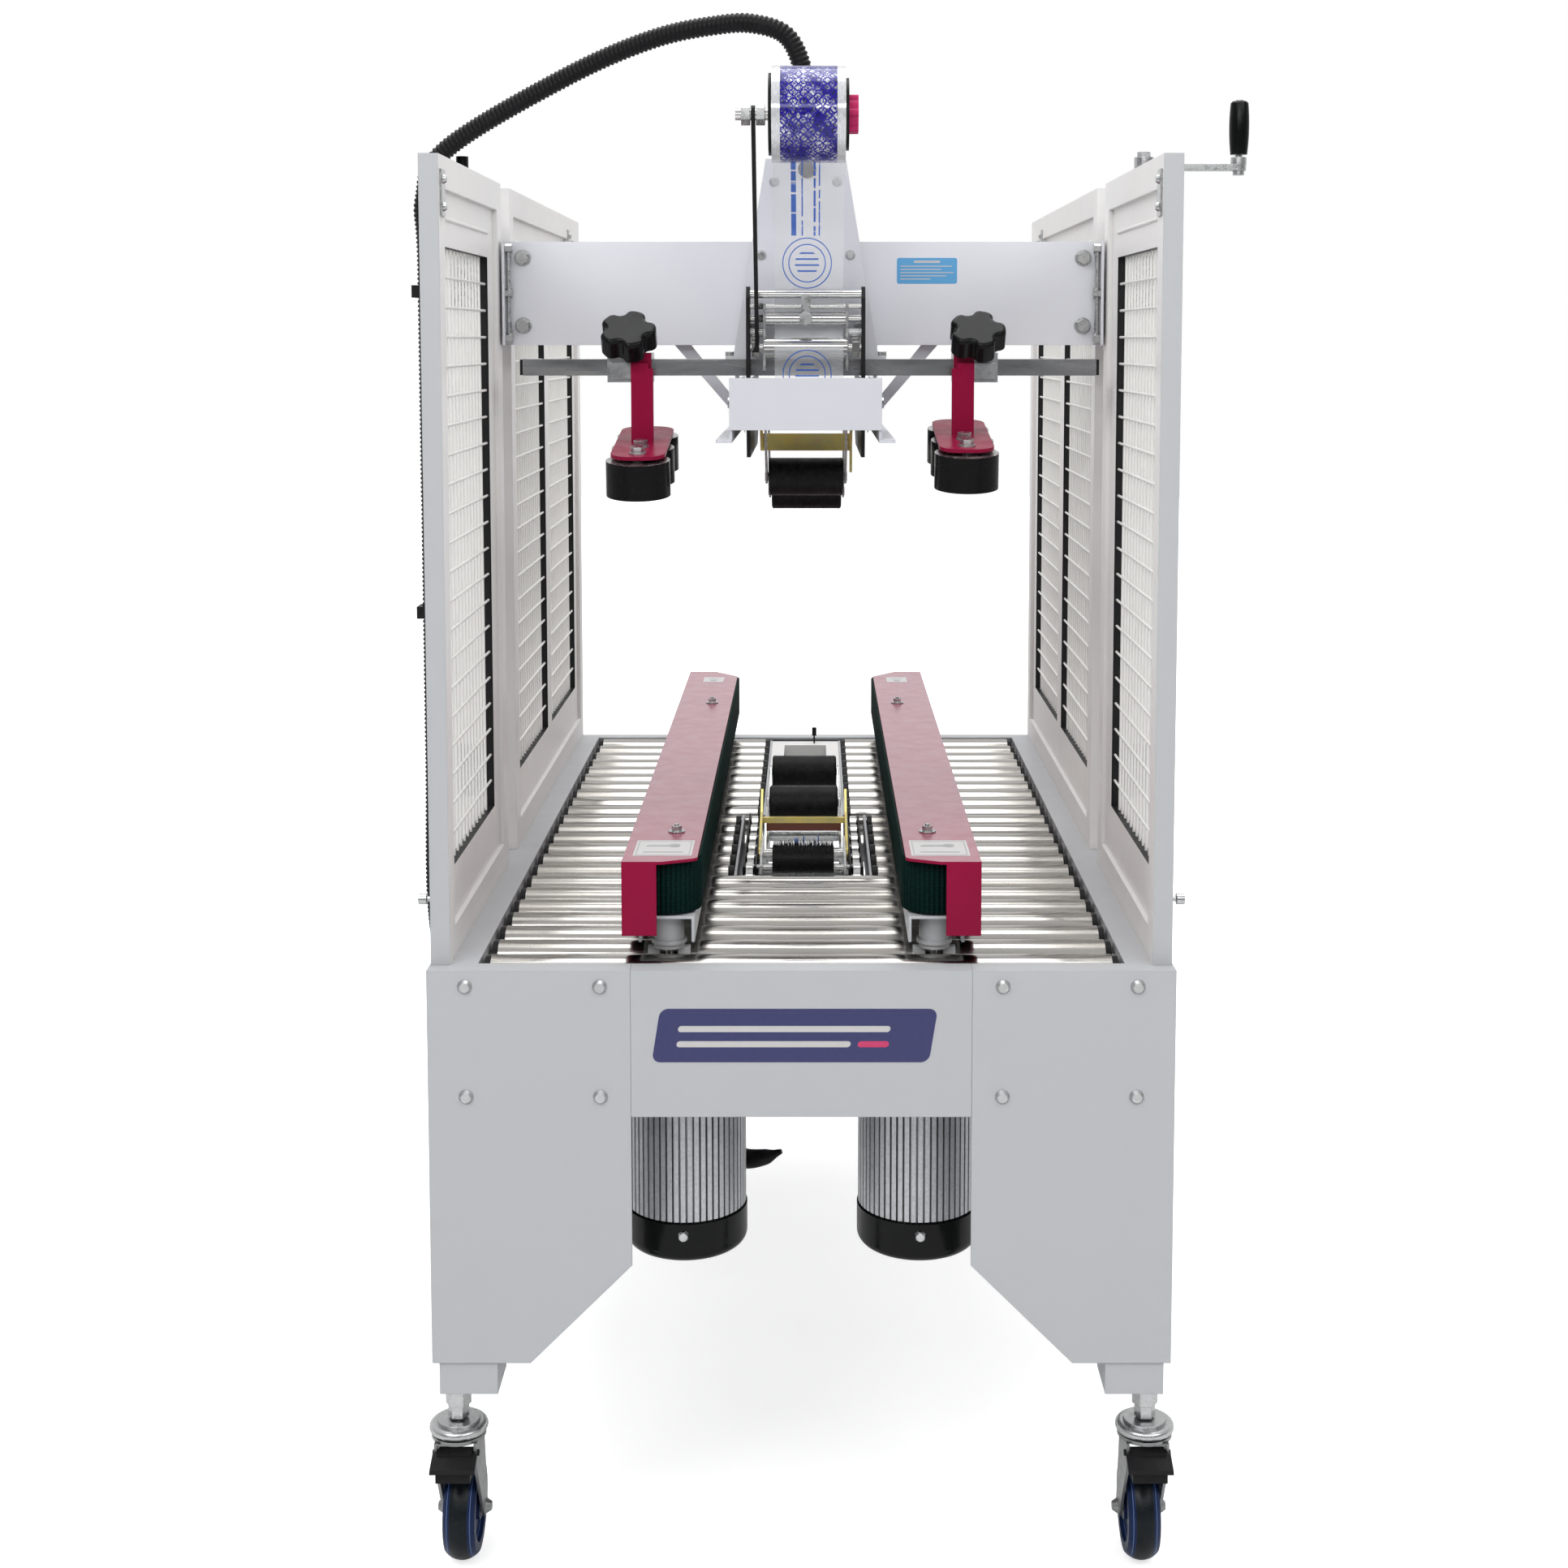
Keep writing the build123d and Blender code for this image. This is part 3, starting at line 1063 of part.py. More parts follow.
def make_caster(name):
    x, y, way = corner(name)
    wheel_y = y + way * CASTER_TRAIL
    half = WHEEL_WIDTH / 2
    top = CUP_Z[0]
    cheek = [
        (y - way * 24, top - 3),
        (y + way * 24, top - 3),
        (wheel_y + way * 12, AXLE_Z),
        (wheel_y, AXLE_Z - 12),
        (wheel_y - way * 12, AXLE_Z),
        (y - way * 24, top - 26),
    ]
    with BuildPart() as fork:
        post(x, y, (top - 4, top - 0.3), 27)
        for side in SIDES.values():
            cheek_x = sorted((x + side * (half + 2), x + side * (half + 5)))
            plate(across(cheek_x[0]), cheek, 3)
            cap = Plane(origin=(x + side * (half + 5), wheel_y, AXLE_Z), z_dir=(side, 0, 0))
            dome(cap, 8, 6)
        shaft((x - half - 4, x + half + 4), wheel_y, AXLE_Z, AXLE_RADIUS)
        if way > 0:
            pin = (x - half - 5, x + half + 5)
            shaft(pin, PEDAL_PIVOT[0], PEDAL_PIVOT[1], 3.1, Mode.SUBTRACT)
    save(fork, f"caster_fork_{name}")
    with BuildPart() as wheel:
        with BuildSketch(facing(wheel_y)) as profile:
            with BuildLine():
                edge = x - half
                far = x + half
                Line((edge, AXLE_Z), (edge, AXLE_Z + WHEEL_RADIUS - 7))
                ThreePointArc(
                    (edge, AXLE_Z + WHEEL_RADIUS - 7),
                    (x, AXLE_Z + WHEEL_RADIUS),
                    (far, AXLE_Z + WHEEL_RADIUS - 7),
                )
                Line((far, AXLE_Z + WHEEL_RADIUS - 7), (far, AXLE_Z))
                Line((far, AXLE_Z), (edge, AXLE_Z))
            make_face()
        revolve(profile.sketch, axis=Axis((x, wheel_y, AXLE_Z), (1, 0, 0)))
        for side in SIDES.values():
            dish = sorted((x + side * (half - 5), x + side * half))
            shaft(dish, wheel_y, AXLE_Z, WHEEL_RADIUS - 16, Mode.SUBTRACT)
            shaft(dish, wheel_y, AXLE_Z, 13)
        shaft((edge, far), wheel_y, AXLE_Z, AXLE_RADIUS + 0.1, Mode.SUBTRACT)
    save(wheel, f"caster_wheel_{name}")


def make_pedal(name):
    """Foot brake of a front caster: a sloping tread on a block hinged between the fork's cheeks."""
    x = corner(name)[0]
    y, z = PEDAL_PIVOT
    tread = [
        (y - 8, z + 3),
        (y - 26, z - 4.5),
        (y - 28, z - 8),
        (y - 25, z - 9),
        (y - 8, z - 1),
    ]
    with BuildPart() as brake_pedal:
        plate(across(x - PEDAL_HALF_WIDTH), tread, 2 * PEDAL_HALF_WIDTH)
        block((x - 17, x + 17), (y - 22, y + 4), (z - 20, z - 5))
        block((x - 17, x + 17), (y - 12, y + 4), (z - 6, z + 4))
        shaft((x - 23, x + 23), y, z, 3)
    save(brake_pedal, f"brake_pedal_{name}")


# ---- build --------------------------------------------------------------------------------------
os.makedirs("parts", exist_ok=True)
make_bed_frame()
make_end_panels()
make_legs()
make_frame_bolts()
make_bed_rollers()
make_control_box()
make_conduit()
make_columns()
make_rear_guards()
make_rear_mesh()
make_lift_screws()
make_crank()
make_crossbeam()
make_guide_bar()
make_head_mast()
make_head_carriage()
make_upper_head_frame()
make_tape()
make_head_arm("upper_front", HEAD_X, UPPER_FRONT_PIVOT, UPPER_FRONT_AXLE, UPPER_ARM_GAP)
make_head_arm("upper_rear", HEAD_X, UPPER_REAR_PIVOT, UPPER_REAR_AXLE, UPPER_ARM_GAP)
make_upper_cutter()
make_lower_head_frame()
make_head_arm("lower_front", 0, LOWER_FRONT_PIVOT, LOWER_FRONT_AXLE, LOWER_ARM_GAP)
make_head_arm("lower_rear", 0, LOWER_REAR_PIVOT, LOWER_REAR_AXLE, LOWER_ARM_GAP)
make_lower_cutter()
for side_name, side_sign in SIDES.items():
    make_door(side_sign)
    make_door_mesh(side_sign)
    make_squeezer(side_name, side_sign, SQUEEZER_DROP[side_name])
    make_star_knob(side_name, side_sign)
    make_belt_cover(side_name, side_sign)
    make_drive_belt(side_name, side_sign)
    make_drive_pulley(side_name, side_sign)
    make_belt_frame(side_name, side_sign)
    make_motor(side_name, side_sign)
    make_caster(f"front_{side_name}")
    make_caster(f"rear_{side_name}")
    make_pedal(f"front_{side_name}")
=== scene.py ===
"""The looks of the carton sealer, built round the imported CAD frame. All lengths are in metres."""
import math
import random

import bmesh
import bpy
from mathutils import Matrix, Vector


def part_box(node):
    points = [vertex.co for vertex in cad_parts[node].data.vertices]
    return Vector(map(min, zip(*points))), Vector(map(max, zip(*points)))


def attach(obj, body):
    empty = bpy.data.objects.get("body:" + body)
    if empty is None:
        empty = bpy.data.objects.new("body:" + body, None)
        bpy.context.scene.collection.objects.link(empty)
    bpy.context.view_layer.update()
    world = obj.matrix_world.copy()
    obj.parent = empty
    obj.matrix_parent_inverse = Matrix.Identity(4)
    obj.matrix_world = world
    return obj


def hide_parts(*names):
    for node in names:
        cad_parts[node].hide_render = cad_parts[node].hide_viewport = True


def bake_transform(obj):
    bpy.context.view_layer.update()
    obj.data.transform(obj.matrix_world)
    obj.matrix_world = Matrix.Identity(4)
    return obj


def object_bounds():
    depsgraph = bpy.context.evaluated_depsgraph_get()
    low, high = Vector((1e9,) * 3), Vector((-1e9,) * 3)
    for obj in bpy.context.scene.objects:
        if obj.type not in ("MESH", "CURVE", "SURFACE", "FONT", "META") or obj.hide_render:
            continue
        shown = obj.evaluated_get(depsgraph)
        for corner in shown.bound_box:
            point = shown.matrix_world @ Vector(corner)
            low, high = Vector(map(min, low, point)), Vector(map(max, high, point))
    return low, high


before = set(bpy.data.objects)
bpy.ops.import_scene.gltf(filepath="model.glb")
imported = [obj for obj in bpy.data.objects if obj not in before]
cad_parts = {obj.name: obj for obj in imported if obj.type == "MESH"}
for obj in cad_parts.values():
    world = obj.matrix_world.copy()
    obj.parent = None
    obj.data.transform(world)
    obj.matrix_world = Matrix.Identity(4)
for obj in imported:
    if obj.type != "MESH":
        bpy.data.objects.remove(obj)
cad_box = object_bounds()

MM = 0.001
SIDES = {"left": -1, "right": 1}

# ---- places taken from the frame, and the upper head's middle plane ----
roll_low, roll_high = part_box("tape_roll")
ROLL_CENTRE = (roll_low + roll_high) / 2
ROLL_RADIUS = (roll_high.z - roll_low.z) / 2
HEAD_MIDDLE = 3.5
HEAD_X = HEAD_MIDDLE * MM


# ---- node graphs ----
RANGE_INPUTS = ("From Min", "From Max", "To Min", "To Max")


class Graph:
    """A material and short calls that add nodes to it. Every call returns an output socket."""

    def __init__(self, name, rough=0.5, metal=0.0, coat=0.0):
        self.material = bpy.data.materials.new(name)
        self.material.use_nodes = True
        self.nodes = self.material.node_tree.nodes
        self.links = self.material.node_tree.links
        self.surface = self.nodes["Principled BSDF"]
        self.set("Roughness", rough)
        self.set("Metallic", metal)
        self.set("Coat Weight", coat)
        self.coords = self.nodes.new("ShaderNodeTexCoord").outputs["Object"]
        self.height = None

    def put(self, socket, value):
        """Links a socket to value, or sets it."""
        if isinstance(value, bpy.types.NodeSocket):
            self.links.new(value, socket)
        elif isinstance(value, (tuple, list)) and len(value) == 3 and socket.type == "RGBA":
            socket.default_value = (*value, 1)
        else:
            socket.default_value = value

    def set(self, name, value):
        self.put(self.surface.inputs[name], value)

    def cloud(self, a, b, noise, low, high, share=1.0):
        """Colour a, with up to a share of b where the noise (scale, detail) passes low..high."""
        return self.mix(self.span(self.noise(*noise), low, high, 0.0, share), a, b)

    def gloss(self, scale, low, high):
        """Roughness that wanders from low to high in clouds."""
        self.set("Roughness", self.span(self.noise(scale, 4), 0.3, 0.8, low, high))

    def stretch(self, scale):
        """The object coordinates, scaled on each axis."""
        node = self.nodes.new("ShaderNodeMapping")
        self.links.new(self.coords, node.inputs["Vector"])
        node.inputs["Scale"].default_value = scale
        return node.outputs[0]

    def texture(self, kind, source=None, **numbers):
        """A texture node on the object coordinates or on source."""
        node = self.nodes.new(f"ShaderNodeTex{kind}")
        self.links.new(source or self.coords, node.inputs["Vector"])
        for name, number in numbers.items():
            node.inputs[name].default_value = number
        return node

    def noise(self, scale, detail=3.0, roughness=0.55, source=None):
        node = self.texture("Noise", source, Scale=scale, Detail=detail, Roughness=roughness)
        return node.outputs["Fac"]

    def cells(self, scale):
        return self.texture("Voronoi", Scale=scale).outputs["Distance"]

    def wave(self, scale, axis, distortion):
        node = self.texture("Wave", Scale=scale, Distortion=distortion)
        node.bands_direction = axis
        return node.outputs["Fac"]

    def span(self, value, low, high, to_low=0.0, to_high=1.0):
        """Maps value from low..high to to_low..to_high, clamped."""
        node = self.nodes.new("ShaderNodeMapRange")
        self.put(node.inputs["Value"], value)
        for name, number in zip(RANGE_INPUTS, (low, high, to_low, to_high)):
            node.inputs[name].default_value = number
        return node.outputs["Result"]

    def math(self, operation, a, b=0.0, c=0.0):
        node = self.nodes.new("ShaderNodeMath")
        node.operation = operation
        for socket, value in zip(node.inputs, (a, b, c)):
            self.put(socket, value)
        return node.outputs[0]

    def mix(self, factor, a, b):
        node = self.nodes.new("ShaderNodeMix")
        node.data_type = "RGBA"
        self.put(node.inputs["Factor"], factor)
        self.put(node.inputs["A"], a)
        self.put(node.inputs["B"], b)
        return node.outputs["Result"]

    def axes(self):
        """The X, Y and Z of the object coordinates."""
        node = self.nodes.new("ShaderNodeSeparateXYZ")
        self.links.new(self.coords, node.inputs[0])
        return node.outputs

    def length(self, a, b):
        """The length of the vector (a, b)."""
        squares = [self.math("MULTIPLY", side, side) for side in (a, b)]
        return self.math("SQRT", self.math("ADD", *squares))

    def aside(self, centre_x):
        """Distance across from the upright planes at centre_x and its mirror image."""
        across = self.math("ABSOLUTE", self.axes()["X"])
        return self.math("ABSOLUTE", self.math("SUBTRACT", across, centre_x))

    def combine(self, x, y, z):
        node = self.nodes.new("ShaderNodeCombineXYZ")
        for socket, value in zip(node.inputs, (x, y, z)):
            self.put(socket, value)
        return node.outputs[0]

    def bump(self, height, distance, strength=1.0):
        """Adds relief; distance is the full height in metres."""
        node = self.nodes.new("ShaderNodeBump")
        self.put(node.inputs["Height"], height)
        node.inputs["Distance"].default_value = distance
        node.inputs["Strength"].default_value = strength
        if self.height is not None:
            self.links.new(self.height, node.inputs["Normal"])
        self.height = node.outputs[0]
        self.set("Normal", self.height)

    def soften(self, radius):
        """Rounds every sharp edge in shading, as a bent sheet or a rolled bar has."""
        node = self.nodes.new("ShaderNodeBevel")
        node.samples = 4
        node.inputs["Radius"].default_value = radius
        self.height = node.outputs[0]
        self.set("Normal", self.height)

    def hollows(self, distance):
        """1 in the open and towards 0 in corners and gaps."""
        node = self.nodes.new("ShaderNodeAmbientOcclusion")
        node.samples = 4
        node.inputs["Distance"].default_value = distance
        return node.outputs["AO"]


# ---- materials ----
def powder_coat(name, colour, rough=0.42, grime_and_shade=(0.42, 0.40, 0.37), peel=1.0, coat=0.0):
    """Powder-coated sheet: orange peel, uneven gloss, faint scuffs, and painted shade darkening the
    corners.
    """
    g = Graph(name, coat=coat)
    g.soften(1.1 * MM)
    cloud = g.noise(5, 5)
    scuff = g.span(g.noise(60, 6, 0.7, g.stretch((1, 1, 0.16))), 0.66, 0.78)
    tone = g.mix(g.span(cloud, 0.3, 0.7, 0.0, 0.07), colour, grime_and_shade)
    tone = g.mix(g.math("MULTIPLY", scuff, 0.10), tone, grime_and_shade)
    # painted shade: the tone darkens towards the grime colour in corners and gaps, where ambient
    # occlusion is low
    corner = g.span(g.hollows(22 * MM), 0.25, 0.75, 0.32, 0.0)
    tone = g.mix(corner, tone, grime_and_shade)
    g.set("Base Color", tone)
    g.set("Roughness", g.span(g.noise(26, 4), 0.3, 0.75, rough - 0.06, rough + 0.09))
    g.bump(g.noise(620, 2), 0.05 * MM * peel, 0.5)
    g.bump(g.noise(90, 2), 0.08 * MM * peel, 0.25)
    return g.material


def gloss_enamel(name, colour, dark, shine=0.12, coat=0.03):
    """Glossy enamel over sheet: long soft waves, a fine orange peel and painted shade darkening the
    corners.
    """
    g = Graph(name, coat=coat)
    g.set("Specular IOR Level", shine)
    g.soften(1.4 * MM)
    tone = g.cloud(colour, dark, (9, 5), 0.25, 0.75, 0.45)
    tone = g.mix(g.span(g.noise(170, 5, 0.7), 0.62, 0.8, 0.0, 0.25), tone, dark)
    # painted shade: the tone darkens towards the dark colour in corners and gaps, where ambient
    # occlusion is low
    corner = g.span(g.hollows(14 * MM), 0.2, 0.7, 0.5, 0.0)
    g.set("Base Color", g.mix(corner, tone, dark))
    g.gloss(40, 0.27, 0.42)
    g.set("Coat Roughness", 0.20)
    g.bump(g.noise(1300, 2), 0.02 * MM, 0.5)
    g.bump(g.noise(60, 2), 0.05 * MM, 0.3)
    return g.material


def zinc_plate(name, tint=(0.55, 0.56, 0.565), rough=0.27, crystal=220):
    """Bright zinc: spangled tone, faint blue and straw tints, and painted shade darkening the
    corners.
    """
    g = Graph(name, metal=1.0)
    g.soften(0.7 * MM)
    spangle = g.span(g.cells(crystal), 0.0, 0.9)
    tone = g.mix(g.span(spangle, 0.0, 1.0, 0.0, 0.14), tint, (0.42, 0.44, 0.46))
    tone = g.cloud(tone, (0.66, 0.62, 0.50), (30, 3), 0.45, 0.75, 0.12)
    # painted shade: the colour goes towards dark grey in corners and gaps, where ambient occlusion
    # is low
    corner = g.span(g.hollows(8 * MM), 0.2, 0.8, 0.55, 0.0)
    g.set("Base Color", g.mix(corner, tone, (0.14, 0.14, 0.14)))
    g.gloss(130, rough - 0.08, rough + 0.14)
    g.bump(g.noise(700, 3), 0.012 * MM, 0.4)
    return g.material


def turned_steel(name, tint=(0.60, 0.595, 0.58), rough=0.15, axis="X", wear=1.0):
    """Bright round stock: rings left by the tool round the axis, and rolled streaks along it."""
    g = Graph(name, metal=1.0)
    g.soften(0.6 * MM)
    along = (40, 2, 2) if axis == "X" else (2, 2, 40)
    rings = g.noise(30, 5, 0.7, g.stretch(along))
    smear = g.noise(14, 5, 0.65, g.stretch((0.35, 2.4, 2.4)))
    tone = g.mix(g.span(rings, 0.35, 0.7, 0.0, 0.35 * wear), tint, (0.44, 0.43, 0.42))
    tone = g.mix(g.span(smear, 0.5, 0.75, 0.0, 0.4 * wear), tone, (0.40, 0.355, 0.29))
    g.set("Base Color", tone)
    g.set("Roughness", g.span(smear, 0.3, 0.75, rough - 0.06, rough + 0.16))
    g.bump(rings, 0.006 * MM, 0.3)
    return g.material


APRON_TOP = 14.7 * MM
APRON_HALF_WIDTH = 46.5 * MM
APRON_Y = 558 * MM


def yellow_passivate(name, apron=False):
    """Passivated steel: straw yellow metal with rosy clouds, and an apron of brown fibre."""
    g = Graph(name, metal=0.55)
    g.soften(0.7 * MM)
    tone = g.cloud((0.83, 0.66, 0.20), (0.66, 0.60, 0.26), (45, 5), 0.35, 0.7)
    tone = g.cloud(tone, (0.78, 0.47, 0.24), (95, 3), 0.56, 0.72, 0.5)
    # painted shade: the tone darkens towards dark brown in corners and gaps, where ambient
    # occlusion is low
    corner = g.span(g.hollows(8 * MM), 0.2, 0.8, 0.5, 0.0)
    tone = g.mix(corner, tone, (0.22, 0.16, 0.05))
    if apron:
        x, y, z = g.axes()
        below = g.math("LESS_THAN", z, APRON_TOP)
        between = g.math("LESS_THAN", g.math("ABSOLUTE", x), APRON_HALF_WIDTH)
        ahead = g.math("COMPARE", y, APRON_Y, 1.4 * MM)
        brown = g.math("MULTIPLY", g.math("MULTIPLY", below, between), ahead)
        tone = g.mix(brown, tone, (0.13, 0.042, 0.026))
        g.set("Metallic", g.span(brown, 0.0, 1.0, 0.55, 0.0))
    g.set("Base Color", tone)
    g.gloss(120, 0.28, 0.46)
    g.bump(g.noise(600, 3), 0.03 * MM, 0.5)
    return g.material


def moulded(name, colour, rough, grain=0.0, dust=0.03, coat=0.0, shine=0.14):
    """Moulded plastic or rubber: fine grain, uneven gloss, pale dust on rubbed places."""
    g = Graph(name, coat=coat)
    g.soften(0.8 * MM)
    tone = g.mix(g.span(g.noise(60, 5, 0.7), 0.5, 0.8, 0.0, dust), colour, (0.14, 0.14, 0.145))
    g.set("Base Color", tone)
    g.set("Specular IOR Level", shine)
    g.gloss(85, rough - 0.07, rough + 0.12)
    g.bump(g.noise(520, 3), 0.03 * MM, 0.5)
    if grain:
        g.bump(g.cells(760), grain, 0.8)
    return g.material


def knurled_rubber(name):
    """Ground rubber of a wiping roller: fine crossed grooves under talc and dust."""
    g = Graph(name)
    weave = g.math("MULTIPLY", g.wave(210, "X", 0.6), g.wave(150, "DIAGONAL", 1.2))
    dust = g.span(g.noise(120, 6, 0.75), 0.46, 0.8, 0.0, 0.16)
    g.set("Base Color", g.mix(dust, (0.005, 0.005, 0.006), (0.10, 0.10, 0.105)))
    g.set("Specular IOR Level", 0.16)
    g.gloss(60, 0.36, 0.62)
    g.bump(weave, 0.16 * MM, 0.7)
    return g.material


NUB_PITCH = 2.3 * MM


def belt_rubber(name):
    """Rough-top belt: dark green, each rib crossed by small nubs, with painted shade in the grooves
    and low between the nubs.
    """
    g = Graph(name)
    up = g.axes()["Z"]
    nubs = g.math("SINE", g.math("MULTIPLY", up, 2 * math.pi / NUB_PITCH))
    nubs = g.math("ADD", nubs, g.span(g.noise(420, 3), 0.2, 0.8, -0.8, 0.8))
    lift = g.span(nubs, -1.4, 1.6)
    # painted shade: near black in the grooves, where ambient occlusion is low
    painted_groove_shade = g.span(g.hollows(3 * MM), 0.3, 0.9)
    # painted shade and light: the green follows the nubs' height, darker low between them and
    # lighter on their tops
    tone = g.mix(lift, (0.0004, 0.004, 0.0035), (0.002, 0.026, 0.021))
    tone = g.cloud(tone, (0.012, 0.05, 0.042), (30, 4), 0.4, 0.8, 0.10)
    g.set("Base Color", g.mix(painted_groove_shade, (0.001, 0.004, 0.004), tone))
    g.set("Specular IOR Level", 0.06)
    g.set("Roughness", 0.6)
    g.bump(lift, 0.5 * MM, 0.9)
    return g.material


CASTER_X = 342 * MM


def tyre_rubber(name, centre_x):
    """Caster tread: near-black crown with dark blue shoulders and two moulded lines."""
    g = Graph(name)
    off = g.aside(centre_x)
    blue = g.math("MULTIPLY", g.span(off, 8.6 * MM, 9.2 * MM), g.span(off, 16.6 * MM, 15.8 * MM))
    line = g.math("COMPARE", off, 11.6 * MM, 0.35 * MM)
    dust = g.span(g.noise(240, 5, 0.75), 0.55, 0.8, 0.0, 0.10)
    tone = g.mix(blue, (0.006, 0.009, 0.011), (0.007, 0.018, 0.065))
    tone = g.mix(line, tone, (0.10, 0.16, 0.34))
    g.set("Base Color", g.mix(dust, tone, (0.10, 0.11, 0.11)))
    g.set("Specular IOR Level", 0.18)
    g.gloss(90, 0.26, 0.5)
    g.bump(g.math("ADD", blue, g.noise(600, 3)), 0.25 * MM, 0.6)
    return g.material


RING_LATTICES = ((9.5, 0.0), (9.5, 4.7), (12.0, 2.0), (7.5, 3.1))
PRINT_HALF_WIDTH = 28.5 * MM


def printed_roll(name):
    """Wound tape: clear film over layers, printed with a blue lattice of crossing rings."""
    g = Graph(name, rough=0.14, coat=0.25)
    x, y, z = g.axes()
    deep = g.math("SUBTRACT", y, ROLL_CENTRE.y)
    high = g.math("SUBTRACT", z, ROLL_CENTRE.z)
    arc = g.math("MULTIPLY", g.math("ARCTAN2", deep, high), ROLL_RADIUS)
    across = g.math("SUBTRACT", x, ROLL_CENTRE.x)
    ink = None
    for pitch, phase in RING_LATTICES:
        cell = pitch * MM
        folded = []
        for place, start in ((across, 0.2), (arc, 0.3)):
            moved = g.math("ADD", place, start + phase * MM)
            folded.append(g.math("SUBTRACT", g.math("PINGPONG", moved, cell), cell / 2))
        rings = g.math("PINGPONG", g.length(*folded), 1.9 * MM)
        ring = g.math("COMPARE", rings, 0.0, 0.42 * MM)
        ink = ring if ink is None else g.math("MAXIMUM", ink, ring)
    band = g.math("LESS_THAN", g.math("ABSOLUTE", across), PRINT_HALF_WIDTH)
    dense = g.span(g.noise(45, 5, 0.65, g.combine(across, arc, 0.0)), 0.40, 0.56)
    solid = g.math("MULTIPLY", band, dense)
    ink = g.math("MULTIPLY", band, ink)
    layers = g.noise(1200, 2, 0.6, g.combine(0.0, g.math("MULTIPLY", arc, 0.15), across))
    film = g.mix(g.span(layers, 0.35, 0.65), (0.76, 0.77, 0.79), (0.50, 0.51, 0.54))
    tone = g.mix(solid, film, (0.010, 0.008, 0.060))
    g.set("Base Color", g.mix(ink, tone, (0.014, 0.008, 0.24)))
    printed = g.math("MAXIMUM", ink, solid)
    g.set("Metallic", g.math("SUBTRACT", 0.3, g.math("MULTIPLY", 0.3, printed)))
    g.set("Specular IOR Level", 0.25)
    g.bump(layers, 0.04 * MM, 0.3)
    return g.material


# the broken lines of print along the film: place across and half width, in millimetres
FILM_STRIPES = ((-14, 2.6), (-5, 0.7), (8, 1.1), (13, 0.7))
FILM_RINGS = (26 * MM, 19.5 * MM)


def clear_film(name, ring_z, marks):
    """Thin film with pale blue print: open rings round short bars, and broken lines."""
    g = Graph(name, rough=0.12, coat=0.6)
    axes = g.axes()
    x, z = axes["X"], axes["Z"]
    across = g.math("SUBTRACT", x, ROLL_CENTRE.x - 2 * MM)
    ink = 0.0
    for centre in ring_z:
        up = g.math("SUBTRACT", z, centre)
        away = g.length(across, up)
        for radius in FILM_RINGS:
            ink = g.math("MAXIMUM", ink, g.math("COMPARE", away, radius, 0.55 * MM))
        bars = g.math("LESS_THAN", g.math("PINGPONG", g.math("ADD", up, 1.0), 3.1 * MM), 0.9 * MM)
        inside = g.math("LESS_THAN", away, 13 * MM)
        ink = g.math("MAXIMUM", ink, g.math("MULTIPLY", bars, inside))
    low, high = marks
    zone = g.math("MULTIPLY", g.math("GREATER_THAN", z, low), g.math("LESS_THAN", z, high))
    for place, width in FILM_STRIPES:
        stripe = g.math("COMPARE", across, place * MM, width * MM)
        broken = g.span(g.noise(170, 1, 0.5, g.combine(0.0, float(place), z)), 0.40, 0.44)
        ink = g.math("MAXIMUM", ink, g.math("MULTIPLY", g.math("MULTIPLY", stripe, broken), zone))
    g.set("Base Color", g.mix(ink, (0.86, 0.88, 0.90), (0.05, 0.16, 0.62)))
    g.set("Alpha", g.span(ink, 0.0, 1.0, 0.24, 0.85))
    g.bump(g.noise(45, 3, 0.6, g.stretch((1, 1, 0.3))), 0.6 * MM, 0.35)
    return g.material


def paper_label(name, ground, ink_colour, rough=0.35):
    """A printed sticker: coated paper with faint fibre and rubbed ink."""
    g = Graph(name, rough=rough, coat=0.4)
    tone = g.cloud(ground, ink_colour, (160, 5), 0.4, 0.8, 0.16)
    g.set("Base Color", tone)
    g.bump(g.noise(300, 3), 0.02 * MM, 0.4)
    return g.material


CRIMSON = (0.27, 0.003, 0.040)
DEEP_CRIMSON = (0.16, 0.002, 0.024)
STRAP_X = 174


def clamp_front(name):
    """The clamp's front: the crimson strap in the middle and bright zinc to each side of it."""
    g = Graph(name)
    g.soften(0.7 * MM)
    off = g.aside(STRAP_X * MM)
    side = g.span(off, 12.0 * MM, 12.6 * MM)
    steel = g.cloud((0.50, 0.51, 0.52), (0.38, 0.39, 0.40), (60, 4), 0.35, 0.7)
    enamel = g.cloud(CRIMSON, DEEP_CRIMSON, (9, 5), 0.25, 0.75, 0.45)
    g.set("Base Color", g.mix(side, enamel, steel))
    g.set("Metallic", side)
    g.set("Specular IOR Level", 0.14)
    g.gloss(80, 0.24, 0.40)
    g.bump(g.noise(700, 2), 0.03 * MM, 0.4)
    return g.material


def cast_silver(name):
    """Silver paint on cast fins: light, slightly sparkling, with painted shade darkening the
    grooves.
    """
    g = Graph(name, metal=0.55)
    g.soften(0.5 * MM)
    # painted shade: the grooves between the fins darken where ambient occlusion is low
    painted_groove_shade = g.span(g.hollows(7 * MM), 0.15, 0.85)
    tone = g.cloud((0.54, 0.55, 0.57), (0.44, 0.45, 0.47), (300, 4), 0.4, 0.7)
    g.set("Base Color", g.mix(painted_groove_shade, (0.24, 0.24, 0.25), tone))
    g.gloss(80, 0.34, 0.52)
    g.bump(g.noise(420, 4, 0.7), 0.12 * MM, 0.6)
    return g.material


